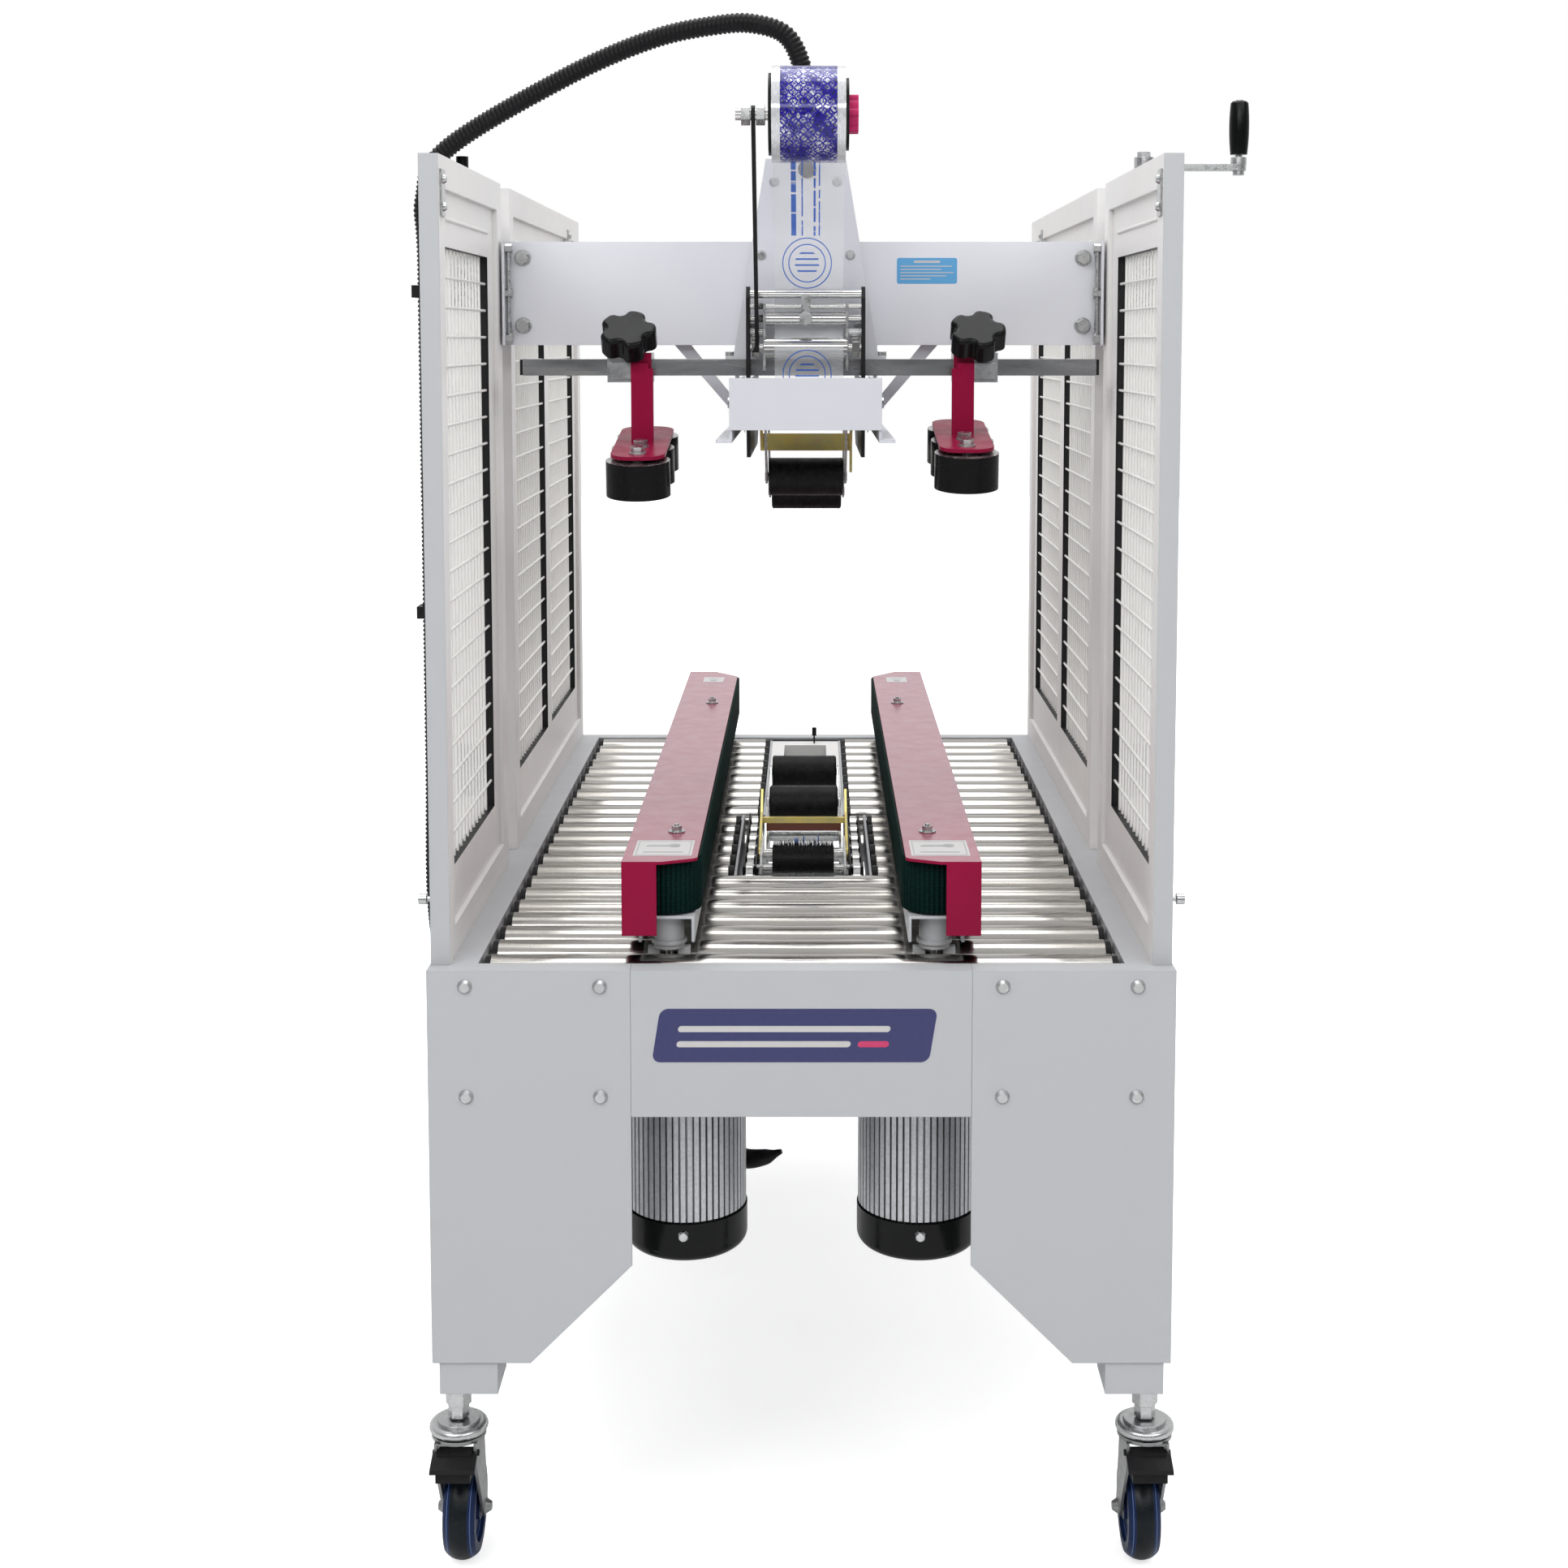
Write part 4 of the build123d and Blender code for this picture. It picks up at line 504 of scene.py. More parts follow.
# painted light and shade: the frame, crossbeam and head wear one white paint; it is darkened for
# the frame, lighter for the head and lighter still for the beam, standing in for how the light
# falls on them
white = powder_coat("white_paint_shaded", (0.465, 0.480, 0.500))
beam_white_lit = powder_coat("beam_paint_lit", (0.74, 0.75, 0.80), rough=0.34)
head_white_lit = powder_coat("head_paint_lit", (0.62, 0.63, 0.68), rough=0.34)
guard_white = powder_coat("guard_paint", (0.82, 0.81, 0.80), rough=0.36)
wire_white = powder_coat("wire_paint", (0.76, 0.755, 0.73), rough=0.38)
grey_box = powder_coat("box_paint", (0.50, 0.51, 0.53))
crimson = gloss_enamel("crimson_paint", CRIMSON, DEEP_CRIMSON)
# painted light: a lighter, pinker copy of the crimson enamel for the covers' top faces, standing in
# for the glare they catch; its stronger gloss reflects for real
crimson_painted_glare = gloss_enamel("crimson_glare", (0.30, 0.010, 0.060), (0.20, 0.006, 0.040), 0.9, 0.8)
crimson_knob = gloss_enamel("crimson_knob", (0.62, 0.030, 0.150), (0.40, 0.018, 0.090))
yellow = yellow_passivate("yellow_plate")
yellow_apron = yellow_passivate("yellow_apron", True)
zinc = zinc_plate("zinc_plate")
zinc_soft = zinc_plate("caster_zinc", (0.30, 0.31, 0.31), 0.36, 160)
chrome = turned_steel("bright_rod", (0.66, 0.66, 0.65), 0.12, wear=0.4)
roller_steel = turned_steel("roller_steel", (0.50, 0.485, 0.455), 0.13)
bar_steel = turned_steel("bar_steel", (0.36, 0.37, 0.39), 0.22)
black_steel = moulded("black_steel", (0.012, 0.012, 0.013), 0.42)
black_cap = moulded("black_cap", (0.010, 0.010, 0.011), 0.34)
gloss_black = moulded("gloss_black", (0.0035, 0.004, 0.004), 0.18, dust=0.01, shine=0.16)
pedal_black = moulded("pedal_black", (0.010, 0.010, 0.011), 0.46, grain=0.05 * MM)
squeeze_black = moulded("squeeze_rubber", (0.004, 0.004, 0.0045), 0.24, dust=0.01, shine=0.12)
hose_black = moulded("hose_black", (0.010, 0.010, 0.011), 0.36)
head_rubber = knurled_rubber("head_rubber")
belt_green = belt_rubber("belt_green")
tyre = tyre_rubber("tyre_rubber", CASTER_X)
roll_film = printed_roll("roll_film")
motor_silver = cast_silver("motor_silver")
clamp_zinc = clamp_front("clamp_front")
navy = paper_label("navy_plate", (0.010, 0.012, 0.105), (0.02, 0.03, 0.16), 0.22)
label_white = paper_label("label_white", (0.54, 0.53, 0.53), (0.44, 0.43, 0.43))
label_blue = paper_label("label_blue", (0.10, 0.36, 0.66), (0.14, 0.42, 0.70))
label_crimson = paper_label("label_crimson", (0.55, 0.02, 0.12), (0.40, 0.01, 0.08))
label_ink = paper_label("label_ink", (0.28, 0.28, 0.29), (0.40, 0.40, 0.42))


# ---- painting the CAD nodes ----
# Face rules take the middle of a face in millimetres and its normal, and return its material.
ROLLER_PITCH = 50.8
ROLLER_FIRST_Y = 48
ROLLER_Z = -17.5
ROLLER_RADIUS = 19
AXLE_REACH = 5.6
ROD_Y, ROD_Z, ROD_REACH = (300, 900), -110, 10.3
HINGE_Z, HINGE_REACH = (110, 670), 31
INNER_SHEET, OUTER_SHEET = 341, 360
OPENING_Z = (84, 695)
DOOR_OPENINGS = ((75, 344),)
REAR_OPENINGS = ((545, 825), (868, 1148))
GUIDE_RODS = ((300, 654, 5), (298, 641, 4), (303, 628, 8.5), (300, 597, 11.5))
TAPE_AXLE, TAPE_AXLE_REACH = (165, 831), 6.5
STRAP_Y = (304.9, 311.1)
STRAP_REACH = 12.2
PLATE_Z = {"left": 490, "right": 498}
PLATE_TILT = math.radians(8)
KNOB_TILT = math.radians(40)
BRUSH_AXIS = (412, 6)
SKATE_FIRST_Y, SKATE_PITCH, SKATE_Z = 412, 48, -15
BELT_X = 132
MOTOR_X = 119


def paint(node, rule):
    """Gives a CAD node one material, or the one that a face rule picks for each of its faces."""
    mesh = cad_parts[node].data
    mesh.materials.clear()
    if isinstance(rule, bpy.types.Material):
        picked = [rule] * len(mesh.polygons)
    else:
        centres = [[value / MM for value in face.center] for face in mesh.polygons]
        picked = [rule(*at, face.normal) for at, face in zip(centres, mesh.polygons)]
    slots = {}
    for material in picked:
        if material.name not in slots:
            slots[material.name] = len(slots)
            mesh.materials.append(material)
    mesh.polygons.foreach_set("material_index", [slots[material.name] for material in picked])
    mesh.update()


def roller_face(x, y, z, normal):
    row = round((y - ROLLER_FIRST_Y) / ROLLER_PITCH)
    away = math.hypot(y - ROLLER_FIRST_Y - row * ROLLER_PITCH, z - ROLLER_Z)
    if abs(normal.x) < 0.5 and away > ROLLER_RADIUS - 0.8:
        return roller_steel
    return chrome if away < AXLE_REACH else black_cap


def bed_face(x, y, z, normal):
    near_rod = min(math.hypot(y - rod_y, z - ROD_Z) for rod_y in ROD_Y) < ROD_REACH
    return bar_steel if near_rod else white


def column_face(x, y, z, normal):
    if x < -415.8:
        return black_steel
    if y < 417.9 and min(abs(z - hinge_z) for hinge_z in HINGE_Z) < HINGE_REACH:
        return zinc
    return guard_white


def on_reveal(x, y, z, openings):
    """True on the inner edges of a guard's openings, which are coloured black."""
    bottom, top = OPENING_Z
    if not (INNER_SHEET < abs(x) < OUTER_SHEET and bottom - 1 < z < top + 1):
        return False
    for low, high in openings:
        if low - 1 < y < high + 1 and min(y - low, high - y, z - bottom, top - z) < 0.6:
            return True
    return False


def rear_guard_face(x, y, z, normal):
    if abs(x) < INNER_SHEET - 0.1:
        return zinc
    return black_steel if on_reveal(x, y, z, REAR_OPENINGS) else guard_white


def door_face(x, y, z, normal):
    if abs(x) < INNER_SHEET - 0.1:
        return zinc
    if on_reveal(x, y, z, DOOR_OPENINGS):
        return black_steel
    # painted shade: the door's front faces, turned to the camera's side, take the darker frame
    # white instead of the guard white
    if y < 19 and normal.y < -0.7:
        return white
    if abs(x) > OUTER_SHEET + 0.1:
        return black_steel if z < 80 and abs(x) < 363.2 else zinc
    return guard_white


def beam_face(x, y, z, normal):
    return zinc if y < 409.9 and 300 < abs(x) < 334.9 else beam_white_lit


def mast_face(x, y, z, normal):
    ahead = y < 331.9
    if z > 801.5 or ahead and abs(x - 5) < 11 and z > 779:
        return black_cap
    foot_bolt = abs(x - HEAD_MIDDLE) > 76 and z > 587.2
    return zinc if ahead and z > 590 or foot_bolt else head_white_lit


def tray_face(x, y, z, normal):
    off = abs(x - HEAD_MIDDLE)
    if z < 497.2 and normal.z < -0.5 and off > 77:
        return black_steel
    if 80.6 < off < 86 and z > 520 and abs(y - 439) > 60:
        return zinc
    return head_white_lit


def bar_face(x, y, z, normal):
    return bar_steel if -306.2 <= x <= 321.2 else black_cap


def screw_face(x, y, z, normal):
    return gloss_black if z > 796 else chrome


def head_face(x, y, z, normal):
    off = x - HEAD_MIDDLE
    flat = 59.9 < abs(off) < 64.1 and y > 282.9 and z < 662.2 and abs(normal.x) > 0.9
    edge = 60.1 < abs(off) < 63.9 and z < 662.2
    tape_arm = -54.6 < off < -50.4 and y < 310 and z > 590
    if flat or edge or tape_arm:
        return black_steel
    if 261.9 < y < 296.1 and 556.9 < z < 560.1:
        return bar_steel
    if abs(off) < 5.2 and y < 297 and 621 < z < 653:
        return zinc
    if abs(normal.x) < 0.9:
        for rod_y, rod_z, reach in (*GUIDE_RODS, (*TAPE_AXLE, TAPE_AXLE_REACH)):
            if math.hypot(y - rod_y, z - rod_z) < reach:
                return chrome
    return zinc


def squeezer_face(x, y, z, normal):
    plate_z = PLATE_Z["left" if x < 0 else "right"]
    level = -(y - 305) * math.sin(PLATE_TILT) + (z - plate_z) * math.cos(PLATE_TILT)
    on_strap = STRAP_Y[0] < y < STRAP_Y[1]
    if z > 556:
        return clamp_zinc if on_strap else zinc
    if on_strap and abs(abs(x) - STRAP_X) < STRAP_REACH:
        return crimson
    if level < -3.05:
        return squeeze_black
    return crimson if -0.1 <= level <= 4.05 else zinc


def knob_face(x, y, z, normal):
    level = -(y - 325) * math.sin(KNOB_TILT) + (z - 588) * math.cos(KNOB_TILT)
    return zinc if level < 12.1 else gloss_black


def hub_face(x, y, z, normal):
    return crimson_knob if x > roll_high.x / MM + 3.45 else black_cap


def lower_head_face(x, y, z, normal):
    off = abs(x)
    if off < 36 and math.hypot(y - BRUSH_AXIS[0], z - BRUSH_AXIS[1]) < 16.5:
        return black_steel
    if off < 46.9 and 454 < y < 459:
        return zinc
    if 53.5 < off < 71.5 and 390 < y < 682:
        row = round((y - SKATE_FIRST_Y) / SKATE_PITCH)
        away = math.hypot(y - SKATE_FIRST_Y - SKATE_PITCH * row, z - SKATE_Z)
        if 57.5 < off < 66.5 and away < 16.8:
            return chrome
        return zinc if away < 3.2 else black_steel
    if y > 869 and -9.1 < z < -3.9 and off > 30 or y > 1149 and z < 0:
        return guard_white
    if y > 1160 and off < 18 and z > -4.1:
        return black_steel
    return chrome if off < 46.7 and abs(normal.x) < 0.9 else zinc


def cover_face(x, y, z, normal):
    # painted light: upward faces above the table take the lighter glare copy of the enamel
    return crimson_painted_glare if normal.z > 0.9 and z > 100 else crimson


def belt_frame_face(x, y, z, normal):
    if z > 95.3:
        return zinc
    if z > 42.1:
        return black_steel
    post = y < 92 and z > 3 and abs(abs(x) - BELT_X) < 16 and abs(normal.z) < 0.5
    return grey_box if post else white


def motor_face(x, y, z, normal):
    if z < -279.9:
        bolt = y < 61.3 and abs(abs(x) - MOTOR_X) < 5 and abs(z + 292) < 5
        return zinc if bolt else gloss_black
    return gloss_black if y > 186.6 else motor_silver


def box_face(x, y, z, normal):
    return black_cap if x < -330.2 and -255 < z < -205 else grey_box


LOOKS = {
    "bed_frame": bed_face,
    "end_panels": white,
    "legs": white,
    "frame_bolts": zinc,
    "bed_rollers": roller_face,
    "columns": column_face,
    "rear_guards": rear_guard_face,
    "rear_guard_mesh": wire_white,
    "control_box": box_face,
    "lift_screw_left": screw_face,
    "lift_screw_right": chrome,
    "crank_arm": zinc,
    "crank_grip": gloss_black,
    "crossbeam": beam_face,
    "head_mast": mast_face,
    "head_carriage": tray_face,
    "guide_bar": bar_face,
    "upper_head_frame": head_face,
    "tape_hub": hub_face,
    "tape_roll": roll_film,
    "upper_cutter": yellow,
    "lower_cutter": yellow_apron,
    "lower_head_frame": lower_head_face,
}
SIDE_LOOKS = {
    "guard_door": door_face,
    "guard_mesh": wire_white,
    "squeezer": squeezer_face,
    "star_knob": knob_face,
    "belt_cover": cover_face,
    "belt_frame": belt_frame_face,
    "drive_belt": belt_green,
    "drive_pulley": zinc,
    "motor": motor_face,
    "brake_pedal_front": pedal_black,
    "caster_fork_front": zinc_soft,
    "caster_fork_rear": zinc_soft,
    "caster_wheel_front": tyre,
    "caster_wheel_rear": tyre,
}
for node, look in LOOKS.items():
    paint(node, look)
for name in ("upper_front", "upper_rear", "lower_front", "lower_rear"):
    paint(f"{name}_arm", zinc)
    paint(f"{name}_roller", head_rubber)
for side in SIDES:
    for name, look in SIDE_LOOKS.items():
        paint(f"{name}_{side}", look)


# ---- mesh building ----
def piece(name, build, materials, body, smooth=40):
    """Makes an object with build(bm), gives it materials and lets it ride on a body."""
    mesh = bpy.data.meshes.new(name)
    bm = bmesh.new()
    build(bm)
    bmesh.ops.recalc_face_normals(bm, faces=bm.faces)
    bm.to_mesh(mesh)
    bm.free()
    mesh.shade_smooth()
    mesh.set_sharp_from_angle(angle=math.radians(smooth))
    for material in materials:
        mesh.materials.append(material)
    made = bpy.data.objects.new(name, mesh)
    bpy.context.scene.collection.objects.link(made)
    if body:
        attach(made, body)
    return made


def ring_frames(points):
    """Centres with two cross directions that don't twist along a path."""
    tangents = []
    for index in range(len(points)):
        before = points[max(index - 1, 0)]
        after = points[min(index + 1, len(points) - 1)]
        tangents.append((after - before).normalized())
    side = tangents[0].orthogonal().normalized()
    frames = []
    for point, tangent in zip(points, tangents):
        side = (side - tangent * side.dot(tangent)).normalized()
        frames.append((point, side, tangent.cross(side)))
    return frames


def wall(bm, low, high):
    """Quads between two closed rows of corners."""
    faces = []
    for index in range(len(low)):
        after = (index + 1) % len(low)
        faces.append(bm.faces.new((low[index], low[after], high[after], high[index])))
    return faces


def tube(bm, points, radii, segments=16):
    """A closed round tube along points, with one radius per point."""
    rings = []
    for (centre, side, up), radius in zip(ring_frames(points), radii):
        ring = []
        for step in range(segments):
            angle = 2 * math.pi * step / segments
            out = side * math.cos(angle) + up * math.sin(angle)
            ring.append(bm.verts.new(centre + out * radius))
        rings.append(ring)
    for low, high in zip(rings, rings[1:]):
        wall(bm, low, high)
    bm.faces.new(rings[0][::-1])
    bm.faces.new(rings[-1])


def slab(bm, outline, depth, material):
    """A thin plate from a closed outline of points, pushed along depth."""
    low = [bm.verts.new(point) for point in outline]
    high = [bm.verts.new(point + depth) for point in outline]
    faces = [bm.faces.new(low[::-1]), bm.faces.new(high)]
    for face in faces + wall(bm, low, high):
        face.material_index = material


def rounded(width, height, radius, slant=0.0, steps=5):
    """A rounded rectangle about the origin as (u, v) points, sheared sideways by slant."""
    points = []
    for cx, cy, start in ((1, 1, 0), (-1, 1, 90), (-1, -1, 180), (1, -1, 270)):
        for step in range(steps + 1):
            angle = math.radians(start + 90 * step / steps)
            u = cx * (width / 2 - radius) + radius * math.cos(angle)
            v = cy * (height / 2 - radius) + radius * math.sin(angle)
            points.append((u + v * slant, v))
    return points


PLY = 0.12 * MM


def label(name, body, centre, u_axis, v_axis, layers, materials):
    """A sticker of thin plates; a layer is (outline, offset u, offset v, lift, material number)."""
    out = u_axis.cross(v_axis)

    def build(bm):
        for outline, du, dv, lift, material in layers:
            base = centre + u_axis * du + v_axis * dv + out * lift
            corners = [base + u_axis * u + v_axis * v for u, v in outline]
            slab(bm, corners, out * PLY, material)

    return piece(name, build, materials, body, 30)


def curve_points(keys, spacing):
    """Points at an even spacing along a smooth path through keys."""
    dense = []
    padded = [keys[0] * 2 - keys[1], *keys, keys[-1] * 2 - keys[-2]]
    for a, b, c, d in zip(padded, padded[1:], padded[2:], padded[3:]):
        count = max(8, int((c - b).length / (2 * MM)))
        square = 2 * a - 5 * b + 4 * c - d
        cube = 3 * b - a - 3 * c + d
        for step in range(count):
            t = step / count
            dense.append(0.5 * (2 * b + (c - a) * t + square * t * t + cube * t**3))
    dense.append(keys[-1])
    points, carried = [dense[0]], 0.0
    for before, after in zip(dense, dense[1:]):
        length = (after - before).length
        while carried + length >= spacing:
            share = (spacing - carried) / length
            before = before.lerp(after, share)
            points.append(before)
            length = (after - before).length
            carried = 0.0
        carried += length
    return points


def mm_points(*triples):
    """Points given in millimetres."""
    return [Vector(triple) * MM for triple in triples]


# ---- hose ----
HOSE_ROUTE = mm_points(
    (-346.2, 600, -230), (-385, 580, -226), (-422, 505, -170), (-431, 445, -60), (-431, 445, 120),
    (-431, 445, 400), (-431, 445, 690), (-430, 432, 765), (-402, 424, 820), (-268, 412, 897),
    (-167, 397, 938), (-90, 384, 952), (-50, 376, 951), (-18, 372, 938), (-1, 371, 905),
    (5, 371, 860), (5, 371, 811.5),
)
HOSE_RADIUS = 11 * MM
RIB_PITCH = 5.2 * MM
RIB_PROFILE = (1.0, 0.99, 0.93, 0.86, 0.86, 0.93)


def build_hose(bm):
    """A corrugated hose: one turn of the rib profile for each pitch along the route."""
    steps = len(RIB_PROFILE)
    points = curve_points(HOSE_ROUTE, RIB_PITCH / steps)
    radii = [HOSE_RADIUS * RIB_PROFILE[index % steps] for index in range(len(points))]
    tube(bm, points, radii, 18)


hose = piece("ribbed_hose", build_hose, [hose_black], None, 60)
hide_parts("conduit")
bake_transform(hose)


# ---- side belts ----
# one rib of the belt: share of the pitch, and share of the rib's depth
RIB_SHAPE = ((0.0, 1.0), (0.16, 0.25), (0.30, 0.0), (0.62, 0.0), (0.76, 0.25), (0.9, 1.0))


def build_belt(side):
    """A closed belt of upright ribs round the two pulleys of one side."""
    low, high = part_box(f"drive_belt_{side}")
    centre_x = (low.x + high.x) / 2
    outer = (high.x - low.x) / 2
    thickness, pitch, depth, edge = 4 * MM, 5.3 * MM, 1.5 * MM, 0.8 * MM
    front_y, rear_y = low.y + outer, high.y - outer
    straight = rear_y - front_y
    total = 2 * straight + 2 * math.pi * outer
    count = round(total / pitch)

    def at(distance, inset):
        """A point on the belt's round, inset from its outer face."""
        distance %= total
        turn = math.pi * outer
        radius = outer - inset
        if distance < straight:
            return Vector((centre_x + radius, front_y + distance, 0))
        distance -= straight
        if distance < turn:
            angle = distance / outer
            across, along = radius * math.cos(angle), radius * math.sin(angle)
            return Vector((centre_x + across, rear_y + along, 0))
        distance -= turn
        if distance < straight:
            return Vector((centre_x - radius, rear_y - distance, 0))
        angle = (distance - straight) / outer
        across, along = radius * math.cos(angle), radius * math.sin(angle)
        return Vector((centre_x - across, front_y - along, 0))

    def build(bm):
        columns = []
        for rib in range(count):
            for share, sunk in RIB_SHAPE:
                where = (rib + share) * total / count
                rim = at(where, sunk * depth)
                lip = at(where, sunk * depth + 0.6 * MM)
                inner = at(where, thickness)
                levels = (low.z, low.z, low.z + edge, high.z - edge, high.z, high.z)
                corners = zip((inner, lip, rim, rim, lip, inner), levels)
                columns.append([bm.verts.new((point.x, point.y, z)) for point, z in corners])
        for index, column in enumerate(columns):
            after = columns[(index + 1) % len(columns)]
            for row in range(6):
                up = (row + 1) % 6
                bm.faces.new((column[row], after[row], after[up], column[up]))

    belt = piece(f"ribbed_belt_{side}", build, [belt_green], f"belt_unit_{side}", 60)
    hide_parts(f"drive_belt_{side}")


for side in SIDES:
    build_belt(side)


# ---- head rollers ----
def lathe(bm, centre, profile, segments=48):
    """Turns a profile of (x, radius) pairs about a line along X through centre."""
    rings = []
    for x, radius in profile:
        ring = []
        for step in range(segments):
            angle = 2 * math.pi * step / segments
            y = centre.y + radius * math.cos(angle)
            z = centre.z + radius * math.sin(angle)
            ring.append(bm.verts.new((x, y, z)))
        rings.append(ring)
    for low, high in zip(rings, rings[1:] + rings[:1]):
        wall(bm, low, high)


def build_head_roller(name, groove_pitch, groove_depth):
    """A rubber sleeve with rounded ends and evenly spaced grooves."""
    low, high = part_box(name)
    centre = (low + high) / 2
    radius = (high.z - low.z) / 2
    bore = 5.1 * MM
    profile = [(low.x, bore), (low.x, radius - 3 * MM), (low.x + 0.9 * MM, radius - 0.9 * MM)]
    grooves = int((high.x - low.x - 6 * MM) / groove_pitch)
    start = centre.x - grooves * groove_pitch / 2
    profile.append((low.x + 2.2 * MM, radius))
    for index in range(grooves):
        x = start + index * groove_pitch
        profile += [
            (x, radius),
            (x + 0.28 * groove_pitch, radius - groove_depth),
            (x + 0.5 * groove_pitch, radius - groove_depth),
            (x + 0.72 * groove_pitch, radius),
        ]
    profile.append((high.x - 2.2 * MM, radius))
    profile += [(high.x - 0.9 * MM, radius - 0.9 * MM), (high.x, radius - 3 * MM), (high.x, bore)]
    roller = piece(f"rubber_{name}", lambda bm: lathe(bm, centre, profile), [head_rubber], name, 50)
    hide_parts(name)


build_head_roller("upper_front_roller", 2.6 * MM, 0.35 * MM)
build_head_roller("upper_rear_roller", 2.6 * MM, 0.35 * MM)
build_head_roller("lower_front_roller", 3.4 * MM, 0.12 * MM)
build_head_roller("lower_rear_roller", 2.2 * MM, 0.30 * MM)


# ---- tape film ----
def ribbon(bm, path, centre_x):
    """A thin strip of film along (y, z) points, with real thickness."""
    half_width, thickness, steps = 37 * MM, 0.15 * MM, 14
    left, right = centre_x - half_width, centre_x + half_width
    rows = []
    for index, (y, z) in enumerate(path):
        before = path[max(index - 1, 0)]
        after = path[min(index + 1, len(path) - 1)]
        dy, dz = after[0] - before[0], after[1] - before[1]
        length = math.hypot(dy, dz)
        ny, nz = -dz / length * thickness, dy / length * thickness
        columns = []
        for step in range(steps + 1):
            share = step / steps
            x = left + (right - left) * share
            sag = 0.5 * MM * math.sin(math.pi * share)
            columns.append((
                bm.verts.new((x, y + ny + sag * ny / thickness, z + nz)),
                bm.verts.new((x, y + sag * ny / thickness, z)),
            ))
        rows.append(columns)
    for low, high in zip(rows, rows[1:]):
        for a, b, c, d in zip(low, low[1:], high[1:], high):
            bm.faces.new((a[0], b[0], c[0], d[0]))
            bm.faces.new((a[1], d[1], c[1], b[1]))
        bm.faces.new((low[0][0], high[0][0], high[0][1], low[0][1]))
        bm.faces.new((low[-1][0], low[-1][1], high[-1][1], high[-1][0]))
    for row in (rows[0], rows[-1]):
        for a, b in zip(row, row[1:]):
            bm.faces.new((a[0], a[1], b[1], b[0]))


def film_path():
    """From the back of the roll down to the guide rods, round the large rod and into the head."""
    keys = [
        (ROLL_CENTRE.y + 30 * MM, ROLL_CENTRE.z - 38.5 * MM),
        (0.262, 0.722),
        (0.3062, 0.655),
        (0.3075, 0.640),
        (0.3122, 0.630),
        (0.311, 0.618),
        (0.2935, 0.606),
        (0.2881, 0.597),
        (0.291, 0.586),
        (0.3005, 0.572),
        (0.305, 0.545),
    ]
    dense = []
    for (y0, z0), (y1, z1) in zip(keys, keys[1:]):
        count = max(2, int(math.hypot(y1 - y0, z1 - z0) / (5 * MM)))
        dense += [(y0 + (y1 - y0) * s / count, z0 + (z1 - z0) * s / count) for s in range(count)]
    return dense + [keys[-1]]


film = clear_film("clear_film", (0.6865, 0.568), (0.715, 0.80))
upper_film = piece(
    "upper_tape_film",
    lambda bm: ribbon(bm, film_path(), ROLL_CENTRE.x),
    [film],
    "carriage",
    30,
)

lower_film_material = clear_film("lower_film", (-0.6,), (-0.20, 0.02))
LOWER_FILM = [
    (0.500, -0.030), (0.507, -0.012), (0.515, -0.0055), (0.530, -0.005), (0.550, -0.005),
    (0.568, -0.0045),
]
lower_film = piece(
    "lower_tape_film",
    lambda bm: ribbon(bm, LOWER_FILM, 0.0),
    [lower_film_material],
    "frame",
    30,
)


# ---- brush ----
def build_brush(bm):
    """Close rows of stiff bristles round a core, longer and more ragged at the tips."""
    draw = random.Random(4)
    centre = Vector((0, 412, 6)) * MM
    core, reach = 15.5 * MM, 22.5 * MM
    for row in range(26):
        angle = math.radians(-30 + 240 * row / 25)
        for column in range(58):
            x = (-35 + 70 * (column + draw.uniform(0.1, 0.9)) / 58) * MM
            tilt = angle + draw.uniform(-0.06, 0.06)
            out = Vector((0, -math.cos(tilt), math.sin(tilt)))
            lean = Vector((draw.uniform(-0.09, 0.09), 0, 0))
            foot = centre + Vector((x, 0, 0)) + out * core
            tip = foot + (out + lean) * (reach - core) * draw.uniform(0.72, 1.0)
            across = Vector((1, 0, 0)) * 0.28 * MM
            along = out.cross(across.normalized()) * 0.28 * MM
            corners = (across, -across * 0.5 + along, -across * 0.5 - along)
            base = [bm.verts.new(foot + corner) for corner in corners]
            end = [bm.verts.new(tip + corner * 0.45) for corner in corners]
            bm.faces.new(base[::-1])
            bm.faces.new(end)
            wall(bm, base, end)


brush = piece("brush_bristles", build_brush, [black_steel], "frame", 30)


# ---- springs ----
def build_spring(bm, start, end, radius, wire, turns):
    """A close-wound extension spring with straight hook ends."""
    axis = end - start
    way = axis.normalized()
    side = way.orthogonal().normalized()
    up = way.cross(side)
    points = [start]
    steps = 14
    for step in range(turns * steps + 1):
        share = step / (turns * steps)
        angle = 2 * math.pi * step / steps
        out = side * math.cos(angle) + up * math.sin(angle)
        points.append(start + axis * (0.12 + 0.76 * share) + out * radius)
    points.append(end)
    tube(bm, points, [wire] * len(points), 8)


def springs(bm):
    """The upper head's two springs, each from its arm down to the tray."""
    for side in SIDES.values():
        x = HEAD_X + side * 70 * MM
        ends = Vector((x, 0.330, 0.545)), Vector((x, 0.420, 0.500))
        build_spring(bm, *ends, 3.2 * MM, 0.55 * MM, 22)


upper_springs = piece("upper_springs", springs, [zinc], "carriage", 60)


def low_springs(bm):
    """The lower head's two small springs, along its cheeks."""
    for side in SIDES.values():
        x = side * 51.6 * MM
        ends = Vector((x, 0.400, -0.022)), Vector((x, 0.452, -0.022))
        build_spring(bm, *ends, 1.5 * MM, 0.3 * MM, 20)


lower_springs = piece("lower_springs", low_springs, [zinc], "frame", 60)


